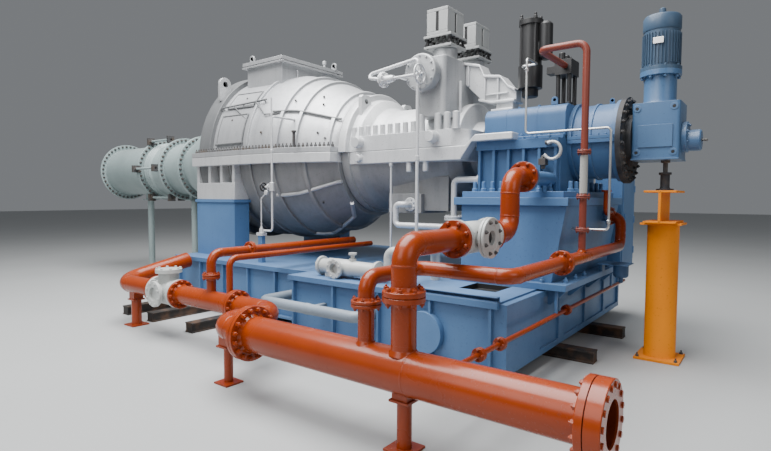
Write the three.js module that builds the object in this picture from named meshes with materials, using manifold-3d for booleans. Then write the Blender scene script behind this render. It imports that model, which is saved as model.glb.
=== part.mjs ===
// A condensing steam turbine on its skid, as it stands on a works test bed.
// Millimetres, +Z up. X runs along the shaft towards the turning gear, Y across the machine, and the
// shaft lies over Y = 0. Stations along X are counted from the step in the skid's sides. place() then
// moves every piece so that the origin is on the floor under the shaft, below the fourth sleeper.
import * as THREE from 'three';
import { mergeVertices } from 'three/addons/utils/BufferGeometryUtils.js';
import Module from 'manifold-3d';

const wasm = await Module();
wasm.setup();

// Driving dimensions
const SHAFT_Z = 2235;          // height of the shaft axis over the floor
const SLEEPER_HEIGHT = 120;
const SLEEPER_X = [-2700, -2050, -1150, 920, 2300];
const ORIGIN_X = SLEEPER_X[3];
const DECK_Z = 756;            // top of the skid's deck
const SKID_LEFT = -2850;
const STEP_X = 20;             // where the skid's long sides step out
const DECK_RIGHT = 2620;       // right end of the skid's deck plate
const SKID_RIGHT = 2690;       // end plate of the skid
const NARROW_HALF = 1620;      // half width of the skid's exhaust end
const WIDE_HALF = 1940;        // half width of its steam end
const SPLIT_JOINT_X = -190;    // vertical joint between exhaust hood and high pressure casing
const RING_LEFT = -2790;       // outer face of the exhaust ring
const PEDESTAL_LEFT = 1740;
const PEDESTAL_RIGHT = 2870;
const TABLE_Z = 1650;          // top of the pedestal's table
const HOUSING_SPLIT_Z = 2270;  // top of the bearing housing's flange
const COVER_TOP_Z = 2650;
const GEAR_X = 3468;           // centre of the turning gear
const STAND_X = 3543;          // centre of the yellow stand
const HEADER_Z = 515;
const HEADER_Y = -3250;
const BACK_HEADER_Y = -2655;
const RISER_X = 2580;          // the large oil pipe into the bearing housing
const RISER = { radius: 84, flange: 142 };
const RING_X = 3040;           // the oil pipe that rounds the pedestal
const RING_RADIUS = 57;
const SEAT = 0.3;              // clearance where one piece rests on another's curved or cut face
const FAR = 20000;             // larger than the whole machine

// Materials
const paint = (color, roughness, metalness) => (
  new THREE.MeshStandardMaterial({ color, roughness, metalness })
);
const silver = paint(0xc4c8cc, 0.45, 0.55);
const blue = paint(0x5f87b5, 0.45, 0.1);
const orange = paint(0xb8431c, 0.3, 0.1);
const brownRed = paint(0x8a3a2c, 0.45, 0.1);
const ivory = paint(0xd8d8cc, 0.5, 0.1);
const black = paint(0x1c1d20, 0.5, 0.3);
const yellow = paint(0xd98a10, 0.5, 0.1);
const darkSteel = paint(0x3a3632, 0.8, 0.3);
const greyGreen = paint(0xaebdb8, 0.5, 0.3);

const machine = new THREE.Group();

// Solids: every shape below is a closed mesh turned into a manifold, so that it can be joined or cut.
function solid(geometry) {
  const bare = geometry.index ? geometry.toNonIndexed() : geometry;
  bare.deleteAttribute('normal');
  bare.deleteAttribute('uv');
  const merged = mergeVertices(bare, 1e-3);
  return new wasm.Manifold(new wasm.Mesh({
    numProp: 3,
    vertProperties: new Float32Array(merged.attributes.position.array),
    triVerts: new Uint32Array(merged.index.array),
  }));
}

// Cuts leave vertices that lie almost on one another, so each solid is simplified a hair first.
const MERGE_DISTANCE = 0.02;

function toGeometry(manifold) {
  const mesh = manifold.simplify(MERGE_DISTANCE).getMesh();
  const geometry = new THREE.BufferGeometry();
  geometry.setAttribute('position', new THREE.BufferAttribute(new Float32Array(mesh.vertProperties), 3));
  geometry.setIndex(new THREE.BufferAttribute(new Uint32Array(mesh.triVerts), 1));
  geometry.computeVertexNormals();
  return geometry;
}

const join = (...parts) => parts.reduce((whole, part) => whole.add(part));

function place(name, manifold, material) {
  const geometry = toGeometry(manifold);
  geometry.translate(-ORIGIN_X, 0, 0);
  const mesh = new THREE.Mesh(geometry, material);
  mesh.name = name;
  machine.add(mesh);
}

// A box from its lowest to its highest corner.
function box(x0, y0, z0, x1, y1, z1) {
  const geometry = new THREE.BoxGeometry(x1 - x0, y1 - y0, z1 - z0);
  geometry.translate((x0 + x1) / 2, (y0 + y1) / 2, (z0 + z1) / 2);
  return solid(geometry);
}

// Round bars: upright from z0 to z1, or lying along X or Y.
function uprightBar(x, y, z0, z1, radius, sides = 16) {
  const geometry = new THREE.CylinderGeometry(radius, radius, z1 - z0, sides);
  geometry.rotateX(Math.PI / 2);
  geometry.translate(x, y, (z0 + z1) / 2);
  return solid(geometry);
}

function barAlongX(x0, x1, y, z, radius, sides = 16) {
  const geometry = new THREE.CylinderGeometry(radius, radius, x1 - x0, sides);
  geometry.rotateZ(-Math.PI / 2);
  geometry.translate((x0 + x1) / 2, y, z);
  return solid(geometry);
}

function barAlongY(y0, y1, x, z, radius, sides = 16) {
  const geometry = new THREE.CylinderGeometry(radius, radius, y1 - y0, sides);
  geometry.translate(x, (y0 + y1) / 2, z);
  return solid(geometry);
}

// A body turned about an axis along X. Its profile of [x, radius] points starts and ends on the axis.
function latheAlongX(profile, sides, y, z) {
  const points = profile.map(([x, radius]) => new THREE.Vector2(radius, x));
  const geometry = new THREE.LatheGeometry(points, sides);
  geometry.rotateZ(-Math.PI / 2);
  geometry.rotateX(Math.PI / sides);
  geometry.translate(0, y, z);
  return geometry;
}

const turned = (profile, sides, y = 0, z = SHAFT_Z) => solid(latheAlongX(profile, sides, y, z));

// A flat plate: its outline in plan, from z0 to z1.
function planPlate(outline, z0, z1) {
  const shape = new THREE.Shape(outline.map(([x, y]) => new THREE.Vector2(x, y)));
  const geometry = new THREE.ExtrudeGeometry(shape, { depth: z1 - z0, bevelEnabled: false });
  geometry.translate(0, 0, z0);
  return solid(geometry);
}

// A plate standing along the shaft: its outline in X and Z, from y0 to y1.
function sidePlate(outline, y0, y1) {
  const shape = new THREE.Shape(outline.map(([x, z]) => new THREE.Vector2(x, z)));
  const geometry = new THREE.ExtrudeGeometry(shape, { depth: y1 - y0, bevelEnabled: false });
  geometry.rotateX(Math.PI / 2);
  geometry.translate(0, y1, 0);
  return solid(geometry);
}

// A plate standing across the shaft: its outline in Y and Z, from x0 to x1.
function crossPlate(outline, x0, x1) {
  const shape = new THREE.Shape(outline.map(([y, z]) => new THREE.Vector2(y, z)));
  const geometry = new THREE.ExtrudeGeometry(shape, { depth: x1 - x0, bevelEnabled: false });
  geometry.rotateX(Math.PI / 2);
  geometry.rotateZ(Math.PI / 2);
  geometry.translate(x0, 0, 0);
  return solid(geometry);
}

// The route of a pipe: straight lengths and bends, with a section at each end of every straight
// and at a few places round every bend.
class PipeRoute extends THREE.Curve {
  constructor(corners, bendRadius, bendSteps) {
    super();
    this.points = [];
    this.tangents = [];
    const stations = corners.map((corner) => new THREE.Vector3(...corner));
    const last = stations.length - 1;
    const direction = (from, to) => new THREE.Vector3().subVectors(to, from).normalize();
    this.addStation(stations[0], direction(stations[0], stations[1]));
    for (let i = 1; i < last; i += 1) {
      this.addBend(stations[i], direction(stations[i - 1], stations[i]),
        direction(stations[i], stations[i + 1]), bendRadius, bendSteps);
    }
    this.addStation(stations[last], direction(stations[last - 1], stations[last]));
  }

  addStation(point, tangent) {
    this.points.push(point.clone());
    this.tangents.push(tangent.clone());
  }

  addBend(corner, into, out, radius, steps) {
    const angle = into.angleTo(out);
    const reach = radius * Math.tan(angle / 2);
    const start = corner.clone().addScaledVector(into, -reach);
    const inward = out.clone().addScaledVector(into, -into.dot(out)).normalize();
    for (let k = 0; k <= steps; k += 1) {
      const turn = (angle * k) / steps;
      const point = start.clone()
        .addScaledVector(into, radius * Math.sin(turn))
        .addScaledVector(inward, radius * (1 - Math.cos(turn)));
      const tangent = into.clone().multiplyScalar(Math.cos(turn)).addScaledVector(inward, Math.sin(turn));
      this.addStation(point, tangent);
    }
  }

  getPoint(t, target = new THREE.Vector3()) {
    return target.copy(this.points[Math.round(t * (this.points.length - 1))]);
  }

  getPointAt(u, target) {
    return this.getPoint(u, target);
  }

  getTangentAt(u, target = new THREE.Vector3()) {
    return target.copy(this.tangents[Math.round(u * (this.points.length - 1))]);
  }
}

function pipe(corners, radius, bendRadius, sides = 12, bendSteps = 5) {
  const route = new PipeRoute(corners, bendRadius, bendSteps);
  const ring = new THREE.Shape().absarc(0, 0, radius, 0, 2 * Math.PI);
  return solid(new THREE.ExtrudeGeometry(ring, {
    steps: route.points.length - 1,
    curveSegments: sides / 2,
    extrudePath: route,
    bevelEnabled: false,
  }));
}

// Above and below the horizontal joint of the casings
const aboveJoint = box(-FAR, -FAR, SHAFT_Z, FAR, FAR, FAR);
const belowJoint = box(-FAR, -FAR, -FAR, FAR, FAR, SHAFT_Z);

// Sleepers: rolled beams laid across under the skid, longer than the skid is wide. Two short lengths
// run out from under its right end, off the last one.
function addSleepers() {
  const halfWidth = 75;
  const flange = 16;
  const web = 60;
  const halfLength = 2470;
  const beamProfile = [
    [-halfWidth, 0], [halfWidth, 0], [halfWidth, flange], [web, flange],
    [web, SLEEPER_HEIGHT - flange], [halfWidth, SLEEPER_HEIGHT - flange],
    [halfWidth, SLEEPER_HEIGHT], [-halfWidth, SLEEPER_HEIGHT],
    [-halfWidth, SLEEPER_HEIGHT - flange], [-web, SLEEPER_HEIGHT - flange],
    [-web, flange], [-halfWidth, flange],
  ];
  const stubEnd = 3070;
  const stubCentres = [-620, 560];
  SLEEPER_X.forEach((x, index) => {
    let sleeper = sidePlate(beamProfile.map(([across, z]) => [x + across, z]), -halfLength, halfLength);
    if (index === SLEEPER_X.length - 1) {
      for (const y of stubCentres) {
        const outline = beamProfile.map(([across, z]) => [y + across, z]);
        sleeper = sleeper.add(crossPlate(outline, x, stubEnd));
      }
    }
    place(`sleeper_${index + 1}`, sleeper, darkSteel);
  });
}

// Skid: welded box girders. Each has a deck plate and a foot plate that stand proud of a panelled web.
const PLATE = 56;
const PANEL_DEPTH = 60;
const STIFFENER = 25;

function girder(x0, y0, x1, y1, stiffenersAlongX, stiffenersAlongY) {
  let body = join(
    box(x0, y0, DECK_Z - PLATE, x1, y1, DECK_Z),
    box(x0 + PANEL_DEPTH, y0 + PANEL_DEPTH, SLEEPER_HEIGHT, x1 - PANEL_DEPTH, y1 - PANEL_DEPTH, DECK_Z),
    box(x0, y0, SLEEPER_HEIGHT, x1, y1, SLEEPER_HEIGHT + STIFFENER),
  );
  const lip = 10;
  const spread = (start, end, i, count) => start + ((end - start - STIFFENER) * i) / count;
  for (let i = 0; i <= stiffenersAlongX; i += 1) {
    const x = spread(x0 + PANEL_DEPTH, x1 - PANEL_DEPTH, i, stiffenersAlongX);
    body = body.add(box(x, y0 + lip, SLEEPER_HEIGHT, x + STIFFENER, y1 - lip, DECK_Z - lip));
  }
  for (let i = 0; i <= stiffenersAlongY; i += 1) {
    const y = spread(y0 + PANEL_DEPTH, y1 - PANEL_DEPTH, i, stiffenersAlongY);
    body = body.add(box(x0 + lip, y, SLEEPER_HEIGHT, x1 - lip, y + STIFFENER, DECK_Z - lip));
  }
  return body;
}

// The exhaust end of the skid carries a box column on each side, under the feet of the hood.
const COLUMN = { x0: -2790, x1: -1850, inner: 1010, outer: 1270, top: 1600 };

function addHoodFrame() {
  const cap = 40;
  const capLip = 20;
  let frame = girder(SKID_LEFT, -NARROW_HALF, STEP_X, NARROW_HALF, 5, 4);
  for (const side of [-1, 1]) {
    const y0 = Math.min(side * COLUMN.inner, side * COLUMN.outer);
    const y1 = Math.max(side * COLUMN.inner, side * COLUMN.outer);
    frame = join(frame,
      box(COLUMN.x0, y0, DECK_Z - 1, COLUMN.x1, y1, COLUMN.top),
      box(COLUMN.x0 - capLip, y0 - capLip, COLUMN.top - cap, COLUMN.x1 + capLip, y1 + capLip, COLUMN.top));
  }
  place('skid_hood_frame', frame.subtract(turned(lowerHoodProfile(SEAT), HOOD_SIDES)), blue);
}

// The steam end is wider, with an end plate in recessed panels, a hatch in the deck on each side and
// a channel along the deck's front edge.
function addSteamFrame() {
  const end = { left: DECK_RIGHT - 100, half: WIDE_HALF - 40, top: DECK_Z - 16 };
  const hatch = { x0: 1985, x1: 2380, inner: 1075, outer: 1470, depth: 60 };
  const channel = { x0: 1600, x1: 2610, y: -1935, width: 65, height: 46, thickness: 8 };
  const panels = [[-1130, -600], [-420, 300], [360, 1100], [1180, 1840]];
  const panelDepth = 25;
  let frame = join(
    girder(STEP_X, -WIDE_HALF, DECK_RIGHT, WIDE_HALF, 4, 5),
    box(end.left, -end.half, SLEEPER_HEIGHT, SKID_RIGHT, end.half, end.top),
    box(channel.x0, channel.y, DECK_Z - 1,
      channel.x1, channel.y + channel.width, DECK_Z + channel.thickness),
    box(channel.x0, channel.y + channel.width - channel.thickness, DECK_Z - 1,
      channel.x1, channel.y + channel.width, DECK_Z + channel.height),
    box(channel.x0, channel.y, DECK_Z + channel.height - channel.thickness,
      channel.x1, channel.y + channel.width, DECK_Z + channel.height),
  );
  for (const [y0, y1] of panels) {
    frame = frame.subtract(box(SKID_RIGHT - panelDepth, y0, SLEEPER_HEIGHT + 60,
      SKID_RIGHT + 10, y1, end.top - 60));
  }
  for (const side of [-1, 1]) {
    const y0 = Math.min(side * hatch.inner, side * hatch.outer);
    const y1 = Math.max(side * hatch.inner, side * hatch.outer);
    frame = frame.subtract(box(hatch.x0, y0, DECK_Z - hatch.depth, hatch.x1, y1, DECK_Z + 10));
  }
  place('skid_steam_frame', frame, blue);
}

// Exhaust hood: a ribbed barrel that narrows towards the high pressure end, split at shaft height.
const HOOD_SIDES = 40;
const HOOD_FLANGE = { bottom: 2105, top: 2305 };
const RING = { right: -2500, radius: 1307, lowerRadius: 1265 };
const RIB = { width: 40, height: 38 };

function withRibs(barrel, ribs) {
  const points = barrel.map((point) => point.slice());
  ribs.forEach((x) => {
    const after = points.findIndex((point) => point[0] > x);
    const [x0, r0] = points[after - 1];
    const [x1, r1] = points[after];
    const radiusAt = (where) => r0 + ((r1 - r0) * (where - x0)) / (x1 - x0);
    const left = x - RIB.width / 2;
    const right = x + RIB.width / 2;
    points.splice(after, 0,
      [left, radiusAt(left)], [left, radiusAt(left) + RIB.height],
      [right, radiusAt(right) + RIB.height], [right, radiusAt(right)]);
  });
  return points;
}

// The profiles, with a clearance added all round where they are used to cut a neighbour.
const hoodProfile = (ringRadius, barrel, ribs, clearance) => [
  [RING_LEFT, 0], [RING_LEFT, ringRadius + clearance], [RING.right + clearance, ringRadius + clearance],
  ...withRibs([[RING.right + clearance + 1, barrel[0][1]], ...barrel.slice(1)], ribs)
    .map(([x, radius]) => [x, radius + clearance]),
  [SPLIT_JOINT_X, 850], [SPLIT_JOINT_X, 0],
];
const upperHoodProfile = (clearance) => hoodProfile(RING.radius,
  [[RING.right, 1240], [-1400, 1240], [-1000, 1145], [-700, 1050], [-250, 862]],
  [-1640, -1070, -780, -320], clearance);
const lowerHoodProfile = (clearance) => hoodProfile(RING.lowerRadius,
  [[RING.right, 1155], [-1400, 1205], [-1000, 1165], [-700, 1085], [-250, 862]],
  [-2050, -1560, -1100, -620], clearance);

// The hood's upper half is taller than it is wide at the exhaust ring, and round at the vertical joint.
const NARROWING = 0.06;
const HEIGHTENING = 0.09;

function upperHood(clearance) {
  const geometry = latheAlongX(upperHoodProfile(clearance), HOOD_SIDES, 0, 0);
  const position = geometry.attributes.position;
  for (let i = 0; i < position.count; i += 1) {
    const share = (SPLIT_JOINT_X - position.getX(i)) / (SPLIT_JOINT_X - RING_LEFT);
    position.setY(i, position.getY(i) * (1 - NARROWING * share));
    position.setZ(i, position.getZ(i) * (1 + HEIGHTENING * share));
  }
  geometry.translate(0, 0, SHAFT_Z);
  return solid(geometry);
}

const HOOD_FLANGE_PLAN = [
  [RING_LEFT, 1350], [-1700, 1330], [-900, 1240], [SPLIT_JOINT_X, 1010],
];
const mirroredPlan = (half) => [
  ...half.map(([x, y]) => [x, -y]),
  ...half.slice().reverse(),
];

function addExhaustHood() {
  const flangePlan = mirroredPlan(HOOD_FLANGE_PLAN);
  const ringLug = { x0: -2625, x1: -2575, inner: 770, outer: 980, z0: 3150, z1: 3520, hole: 45 };
  let upper = join(
    upperHood(0).intersect(aboveJoint),
    planPlate(flangePlan, SHAFT_Z, HOOD_FLANGE.top),
  );
  for (const side of [-1, 1]) {
    const middle = side * (ringLug.inner + ringLug.outer) / 2;
    const half = (ringLug.outer - ringLug.inner) / 2;
    const lug = box(ringLug.x0, middle - half, ringLug.z0, ringLug.x1, middle + half, ringLug.z1);
    const hole = barAlongX(ringLug.x0 - 10, ringLug.x1 + 10, middle + side * half * 0.4,
      ringLug.z1 - 2 * ringLug.hole, ringLug.hole);
    upper = upper.add(lug).subtract(hole);
  }
  place('exhaust_hood_upper', upper, silver);

  // The lower half stands on the skid's columns by a ribbed foot on each side.
  const blockTop = 1850;
  const ribCount = 4;
  const ribThickness = 60;
  let lower = join(
    turned(lowerHoodProfile(0), HOOD_SIDES).intersect(belowJoint),
    planPlate(flangePlan, HOOD_FLANGE.bottom, SHAFT_Z),
  );
  for (const side of [-1, 1]) {
    const y0 = Math.min(side * COLUMN.inner, side * COLUMN.outer);
    const y1 = Math.max(side * COLUMN.inner, side * COLUMN.outer);
    lower = lower.add(box(COLUMN.x0, y0, COLUMN.top, COLUMN.x1, y1, blockTop));
    for (let i = 0; i < ribCount; i += 1) {
      const x = COLUMN.x0 + ((COLUMN.x1 - COLUMN.x0 - ribThickness) * i) / (ribCount - 1);
      lower = lower.add(box(x, y0, blockTop - 1, x + ribThickness, y1, HOOD_FLANGE.bottom + 1));
    }
  }
  place('exhaust_hood_lower', lower, silver);
}

// Relief box: a lidded box on the hood's crown, with two lifting eyes.
const RELIEF = { x0: -2350, x1: -1540, half: 620, z0: 3290, top: 3690, lid: 3750 };

function addReliefBox() {
  const overhang = 60;
  const eye = { width: 90, thickness: 30, height: 110 };
  let lidded = join(
    box(RELIEF.x0, -RELIEF.half, RELIEF.z0, RELIEF.x1, RELIEF.half, RELIEF.top),
    box(RELIEF.x0 - overhang, -RELIEF.half - overhang, RELIEF.top,
      RELIEF.x1 + overhang, RELIEF.half + overhang, RELIEF.lid),
  );
  for (const x of [RELIEF.x0 + 100, RELIEF.x1 - 100]) {
    lidded = lidded.add(box(x - eye.width / 2, -eye.thickness / 2, RELIEF.lid,
      x + eye.width / 2, eye.thickness / 2, RELIEF.lid + eye.height));
  }
  place('relief_box', lidded.subtract(upperHood(SEAT)), silver);
}

// Exhaust: a cone off the hood, a flanged spool, a bellows with tie rods and an open end length.
const DUCT = {
  z: 2190, radius: 510, flange: 615, coneEnd: -4440, spoolLeft: -5100, bellowsLeft: -5900, open: -7500,
};
const DUCT_SIDES = 28;
const DUCT_FLANGE = 30;

const ductBody = (profile) => turned(profile, DUCT_SIDES, 0, DUCT.z);

// A length of duct with a flange at each end; the middle of its profile may be given.
const ductLength = (left, right, middle = []) => ductBody([
  [left, 0], [left, DUCT.flange], [left + DUCT_FLANGE, DUCT.flange], [left + DUCT_FLANGE, DUCT.radius],
  ...middle,
  [right - DUCT_FLANGE, DUCT.radius], [right - DUCT_FLANGE, DUCT.flange], [right, DUCT.flange], [right, 0],
]);

// A post under the duct: a tube with a foot plate, and a saddle whose top is cut to the duct.
function ductPost(x) {
  const postRadius = 65;
  const footHalf = 150;
  const plate = 20;
  const saddle = { half: 35, width: 90, height: 120 };
  const underside = DUCT.z - DUCT.radius;
  const top = underside - saddle.height;
  return join(
    box(x - footHalf, -footHalf, 0, x + footHalf, footHalf, plate),
    uprightBar(x, 0, plate - 1, top + 1, postRadius),
    box(x - saddle.half - 40, -footHalf, top, x + saddle.half + 40, footHalf, top + plate),
    box(x - saddle.half, -saddle.width, top + plate - 1, x + saddle.half, saddle.width, underside + plate),
  );
}

function addExhaustDuct() {
  const { radius, flange, coneEnd, spoolLeft, bellowsLeft, open } = DUCT;
  place('exhaust_cone', ductBody([
    [coneEnd, 0], [coneEnd, flange], [coneEnd + DUCT_FLANGE, flange],
    [coneEnd + DUCT_FLANGE, radius], [coneEnd + 80, radius],
    [RING_LEFT - 60, 1150], [RING_LEFT, 1150], [RING_LEFT, 0],
  ]), silver);

  place('exhaust_spool', join(ductLength(spoolLeft, coneEnd), ductPost(-4850)), silver);

  const convolution = { count: 3, left: -5780, pitch: 80, height: 45 };
  const waves = [];
  for (let i = 0; i < convolution.count; i += 1) {
    const x = convolution.left + i * convolution.pitch;
    waves.push([x, radius], [x + 10, radius + convolution.height], [x + 45, radius + convolution.height],
      [x + 55, radius]);
  }
  let bellows = ductLength(bellowsLeft, spoolLeft, waves);
  const rods = { count: 6, radius: 22, reach: flange + 45, overhang: 100 };
  const lug = { half: 60, depth: 50, inset: 5 };
  for (let i = 0; i < rods.count; i += 1) {
    const angle = (i * 2 * Math.PI) / rods.count;
    const y = rods.reach * Math.cos(angle);
    const z = DUCT.z + rods.reach * Math.sin(angle);
    const endLug = (x) => box(x, y - lug.half, z - lug.half, x + lug.depth, y + lug.half, z + lug.half);
    bellows = join(bellows,
      barAlongX(bellowsLeft - rods.overhang, spoolLeft - lug.inset, y, z, rods.radius, 8),
      endLug(bellowsLeft + lug.inset), endLug(spoolLeft - lug.inset - lug.depth));
  }
  place('exhaust_bellows', bellows, silver);

  const bore = radius - 12;
  const hollow = ductBody([
    [open - 10, 0], [open - 10, bore], [bellowsLeft + 10, bore], [bellowsLeft + 10, 0],
  ]);
  place('exhaust_duct_end', join(ductLength(open, bellowsLeft), ductPost(-6520)).subtract(hollow), silver);
}

// High pressure casing: two bowls with a thick bolted joint, the nozzle block cast on below. Paws on
// its lower half reach out over the bearing housing and rest there.
const CASING = { half: 770, flangeTop: 2430, flangeBottom: 2075, bowlRight: 1480, right: 1640 };
const CASING_SIDES = 36;
const CASING_RING = { right: -60, radius: 865, lowerRadius: 800 };
const PAW = { inner: 600, outer: 768, right: 2210, top: 2345 };

const upperBowl = (clearance) => [
  [SPLIT_JOINT_X, 0], [SPLIT_JOINT_X, CASING_RING.radius + clearance],
  [CASING_RING.right, CASING_RING.radius + clearance], [CASING_RING.right, 780 + clearance],
  [60, 765 + clearance], [150, 650 + clearance], [250, 605 + clearance],
  [1450, 585 + clearance], [CASING.bowlRight, 350], [CASING.right, 350],
  [CASING.right, 240], [PEDESTAL_LEFT, 240], [PEDESTAL_LEFT, 0],
];
const lowerBowl = [
  [SPLIT_JOINT_X, 0], [SPLIT_JOINT_X, CASING_RING.lowerRadius],
  [CASING_RING.right, CASING_RING.lowerRadius], [CASING_RING.right, 770],
  [60, 760], [150, 700], [500, 685], [1300, 600], [1450, 500],
  [CASING.bowlRight, 350], [CASING.right, 350],
  [CASING.right, 240], [PEDESTAL_LEFT, 240], [PEDESTAL_LEFT, 0],
];

function addCasing() {
  const corner = CASING.right - CASING.bowlRight;
  const upperFlange = mirroredPlan([[CASING_RING.right, CASING.half], [CASING.bowlRight, CASING.half],
    [CASING.right, CASING.half - corner]]);
  const ringLug = { x0: -150, x1: -100, inner: 180, outer: 320, top: 3190 };
  let upper = join(
    turned(upperBowl(0), CASING_SIDES).intersect(aboveJoint),
    planPlate(upperFlange, SHAFT_Z, CASING.flangeTop),
  );
  for (const side of [-1, 1]) {
    upper = upper.add(box(ringLug.x0, Math.min(side * ringLug.inner, side * ringLug.outer), SHAFT_Z + 700,
      ringLug.x1, Math.max(side * ringLug.inner, side * ringLug.outer), ringLug.top));
  }
  place('casing_upper', upper, silver);

  const flatBottom = { x0: 460, x1: 1300, half: 520, z0: 1480, z1: 1900 };
  const frontBlock = { x0: 460, x1: 960, y: -600, z0: 1449, z1: 1691 };
  const drain = { x: 600, y: -740, radius: 13 };
  const lowerFlange = { x0: CASING_RING.right, x1: 1600 };
  const pawOutline = [
    [lowerFlange.x1 - 200, CASING.flangeBottom], [lowerFlange.x1 - 10, CASING.flangeBottom],
    [PEDESTAL_LEFT - 10, HOUSING_SPLIT_Z], [PAW.right, HOUSING_SPLIT_Z], [PAW.right, PAW.top],
    [PEDESTAL_LEFT + 30, PAW.top], [CASING.right + 10, SHAFT_Z], [lowerFlange.x1 - 200, SHAFT_Z],
  ];
  let lower = join(
    turned(lowerBowl, CASING_SIDES).intersect(belowJoint),
    box(lowerFlange.x0, -CASING.half, CASING.flangeBottom, lowerFlange.x1, CASING.half, SHAFT_Z),
    box(flatBottom.x0, -flatBottom.half, flatBottom.z0, flatBottom.x1, flatBottom.half, flatBottom.z1),
    box(frontBlock.x0, frontBlock.y, frontBlock.z0, frontBlock.x1, 0, frontBlock.z1),
    uprightBar(drain.x, drain.y, DECK_Z, CASING.flangeBottom + 10, drain.radius, 8),
  );
  for (const side of [-1, 1]) {
    lower = lower.add(sidePlate(pawOutline, Math.min(side * PAW.inner, side * PAW.outer),
      Math.max(side * PAW.inner, side * PAW.outer)));
  }
  place('casing_lower', lower, silver);
}

// Steam chest across the top of the casing, closed by a round cover at each end.
const CHEST = { x0: 960, x1: 1350, half: 710, top: 3300 };
const COVER = { x: 1100, z: 3100, radius: 215, face: 870 };
const VALVE_CENTRES = [-355, 355];
const VALVE_X = 1135;

function addSteamChest() {
  const casingSkin = turned(upperBowl(SEAT), CASING_SIDES);
  const bonnetRadius = 150;
  const bonnetTop = 3450;
  let chest = join(
    box(CHEST.x0, -CHEST.half, 2600, CHEST.x1, CHEST.half, CHEST.top).subtract(casingSkin),
    barAlongY(-COVER.face, COVER.face, COVER.x, COVER.z, COVER.radius, 24),
  );
  for (const y of VALVE_CENTRES) {
    chest = chest.add(uprightBar(VALVE_X, y, CHEST.top - 20, bonnetTop, bonnetRadius));
  }
  place('steam_chest', chest, silver);

  // Four studs hold each spring housing over its bonnet, between two plates, with the stem between them.
  const spring = { halfX: 145, halfY: 195, bottom: 3600, top: 3910 };
  const slot = { half: 14, depth: 25, inset: 40 };
  const plate = { half: 190, thickness: 30 };
  const stud = { reach: 155, radius: 18 };
  const stem = 60;
  VALVE_CENTRES.forEach((y, index) => {
    let housing = join(
      box(VALVE_X - plate.half, y - plate.half, bonnetTop,
        VALVE_X + plate.half, y + plate.half, bonnetTop + plate.thickness),
      box(VALVE_X - stem, y - stem, bonnetTop, VALVE_X + stem, y + stem, spring.bottom),
      box(VALVE_X - plate.half, y - plate.half - 10, spring.bottom - plate.thickness,
        VALVE_X + plate.half, y + plate.half + 10, spring.bottom),
      box(VALVE_X - spring.halfX, y - spring.halfY, spring.bottom,
        VALVE_X + spring.halfX, y + spring.halfY, spring.top),
    );
    for (const [dx, dy] of [[-1, -1], [-1, 1], [1, -1], [1, 1]]) {
      housing = housing.add(uprightBar(VALVE_X + dx * stud.reach, y + dy * stud.reach,
        bonnetTop, spring.bottom, stud.radius, 6));
    }
    for (const side of [-1, 1]) {
      const faceX = VALVE_X + side * spring.halfX;
      const faceY = y + side * spring.halfY;
      housing = housing
        .subtract(box(VALVE_X - slot.half, faceY - slot.depth, spring.bottom + slot.inset,
          VALVE_X + slot.half, faceY + slot.depth, spring.top - slot.inset))
        .subtract(box(faceX - slot.depth, y - slot.half, spring.bottom + slot.inset,
          faceX + slot.depth, y + slot.half, spring.top - slot.inset));
    }
    place(`valve_spring_housing_${index + 1}`, housing, silver);
  });
}

// Lever frame between the valve gear and the actuator that works it; it stands on the bearing cover.
const ACTUATOR = { x: 2147, y: -150, radius: 135, bottom: 2800, top: 3720 };

function addActuator() {
  const arm = 120;
  const foot = { x0: 1740, x1: 2010, half: 170, thickness: 40 };
  const armEnd = ACTUATOR.x - ACTUATOR.radius - SEAT;
  const frame = join(
    sidePlate([
      [CHEST.x1, 3030], [1900, ACTUATOR.bottom], [armEnd, ACTUATOR.bottom], [armEnd, 2960],
      [1700, 3080], [1620, 3230], [CHEST.x1, 3290],
    ], ACTUATOR.y - arm, ACTUATOR.y + arm),
    box(foot.x0, ACTUATOR.y - arm, COVER_TOP_Z, foot.x1, ACTUATOR.y + arm, 2900),
    box(foot.x0, ACTUATOR.y - foot.half, COVER_TOP_Z,
      foot.x1, ACTUATOR.y + foot.half, COVER_TOP_Z + foot.thickness),
  );
  place('lever_frame', frame, silver);

  const { x, y, radius } = ACTUATOR;
  const base = { radius: 90, top: ACTUATOR.bottom + 100 };
  const cylinder = { foot: 3150, top: 3640 };
  const accumulator = { reach: 175, radius: 75, z0: 3200, z1: 3620 };
  const tieRod = { reach: 82, radius: 16 };
  let body = join(
    uprightBar(x, y, ACTUATOR.bottom, base.top, base.radius),
    uprightBar(x, y, base.top - 10, cylinder.foot, radius),
    uprightBar(x, y, cylinder.foot - 10, cylinder.top, radius - 20),
    uprightBar(x, y, cylinder.top - 40, cylinder.top + 20, radius),
    uprightBar(x + accumulator.reach, y, accumulator.z0, accumulator.z1, accumulator.radius),
    box(x, y - 50, 3300, x + accumulator.reach, y + 50, 3400),
    box(x, y - 40, 3540, x + accumulator.reach, y + 40, 3600),
  );
  for (const [dx, dy] of [[-1, -1], [-1, 1], [1, -1], [1, 1]]) {
    body = body.add(uprightBar(x + dx * tieRod.reach, y + dy * tieRod.reach,
      cylinder.top, ACTUATOR.top, tieRod.radius, 8));
  }
  place('actuator', body, black);
}

// Steam pipe that rises off the deck beside the chest, with a small stop valve whose wheel turns on a
// stem along X.
const STEM = { bonnet: 700, end: 1235, y: -1000, z: 3040, radius: 16 };
const WHEEL = { radius: 118, rim: 11, thickness: 22, hub: 34 };

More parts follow.
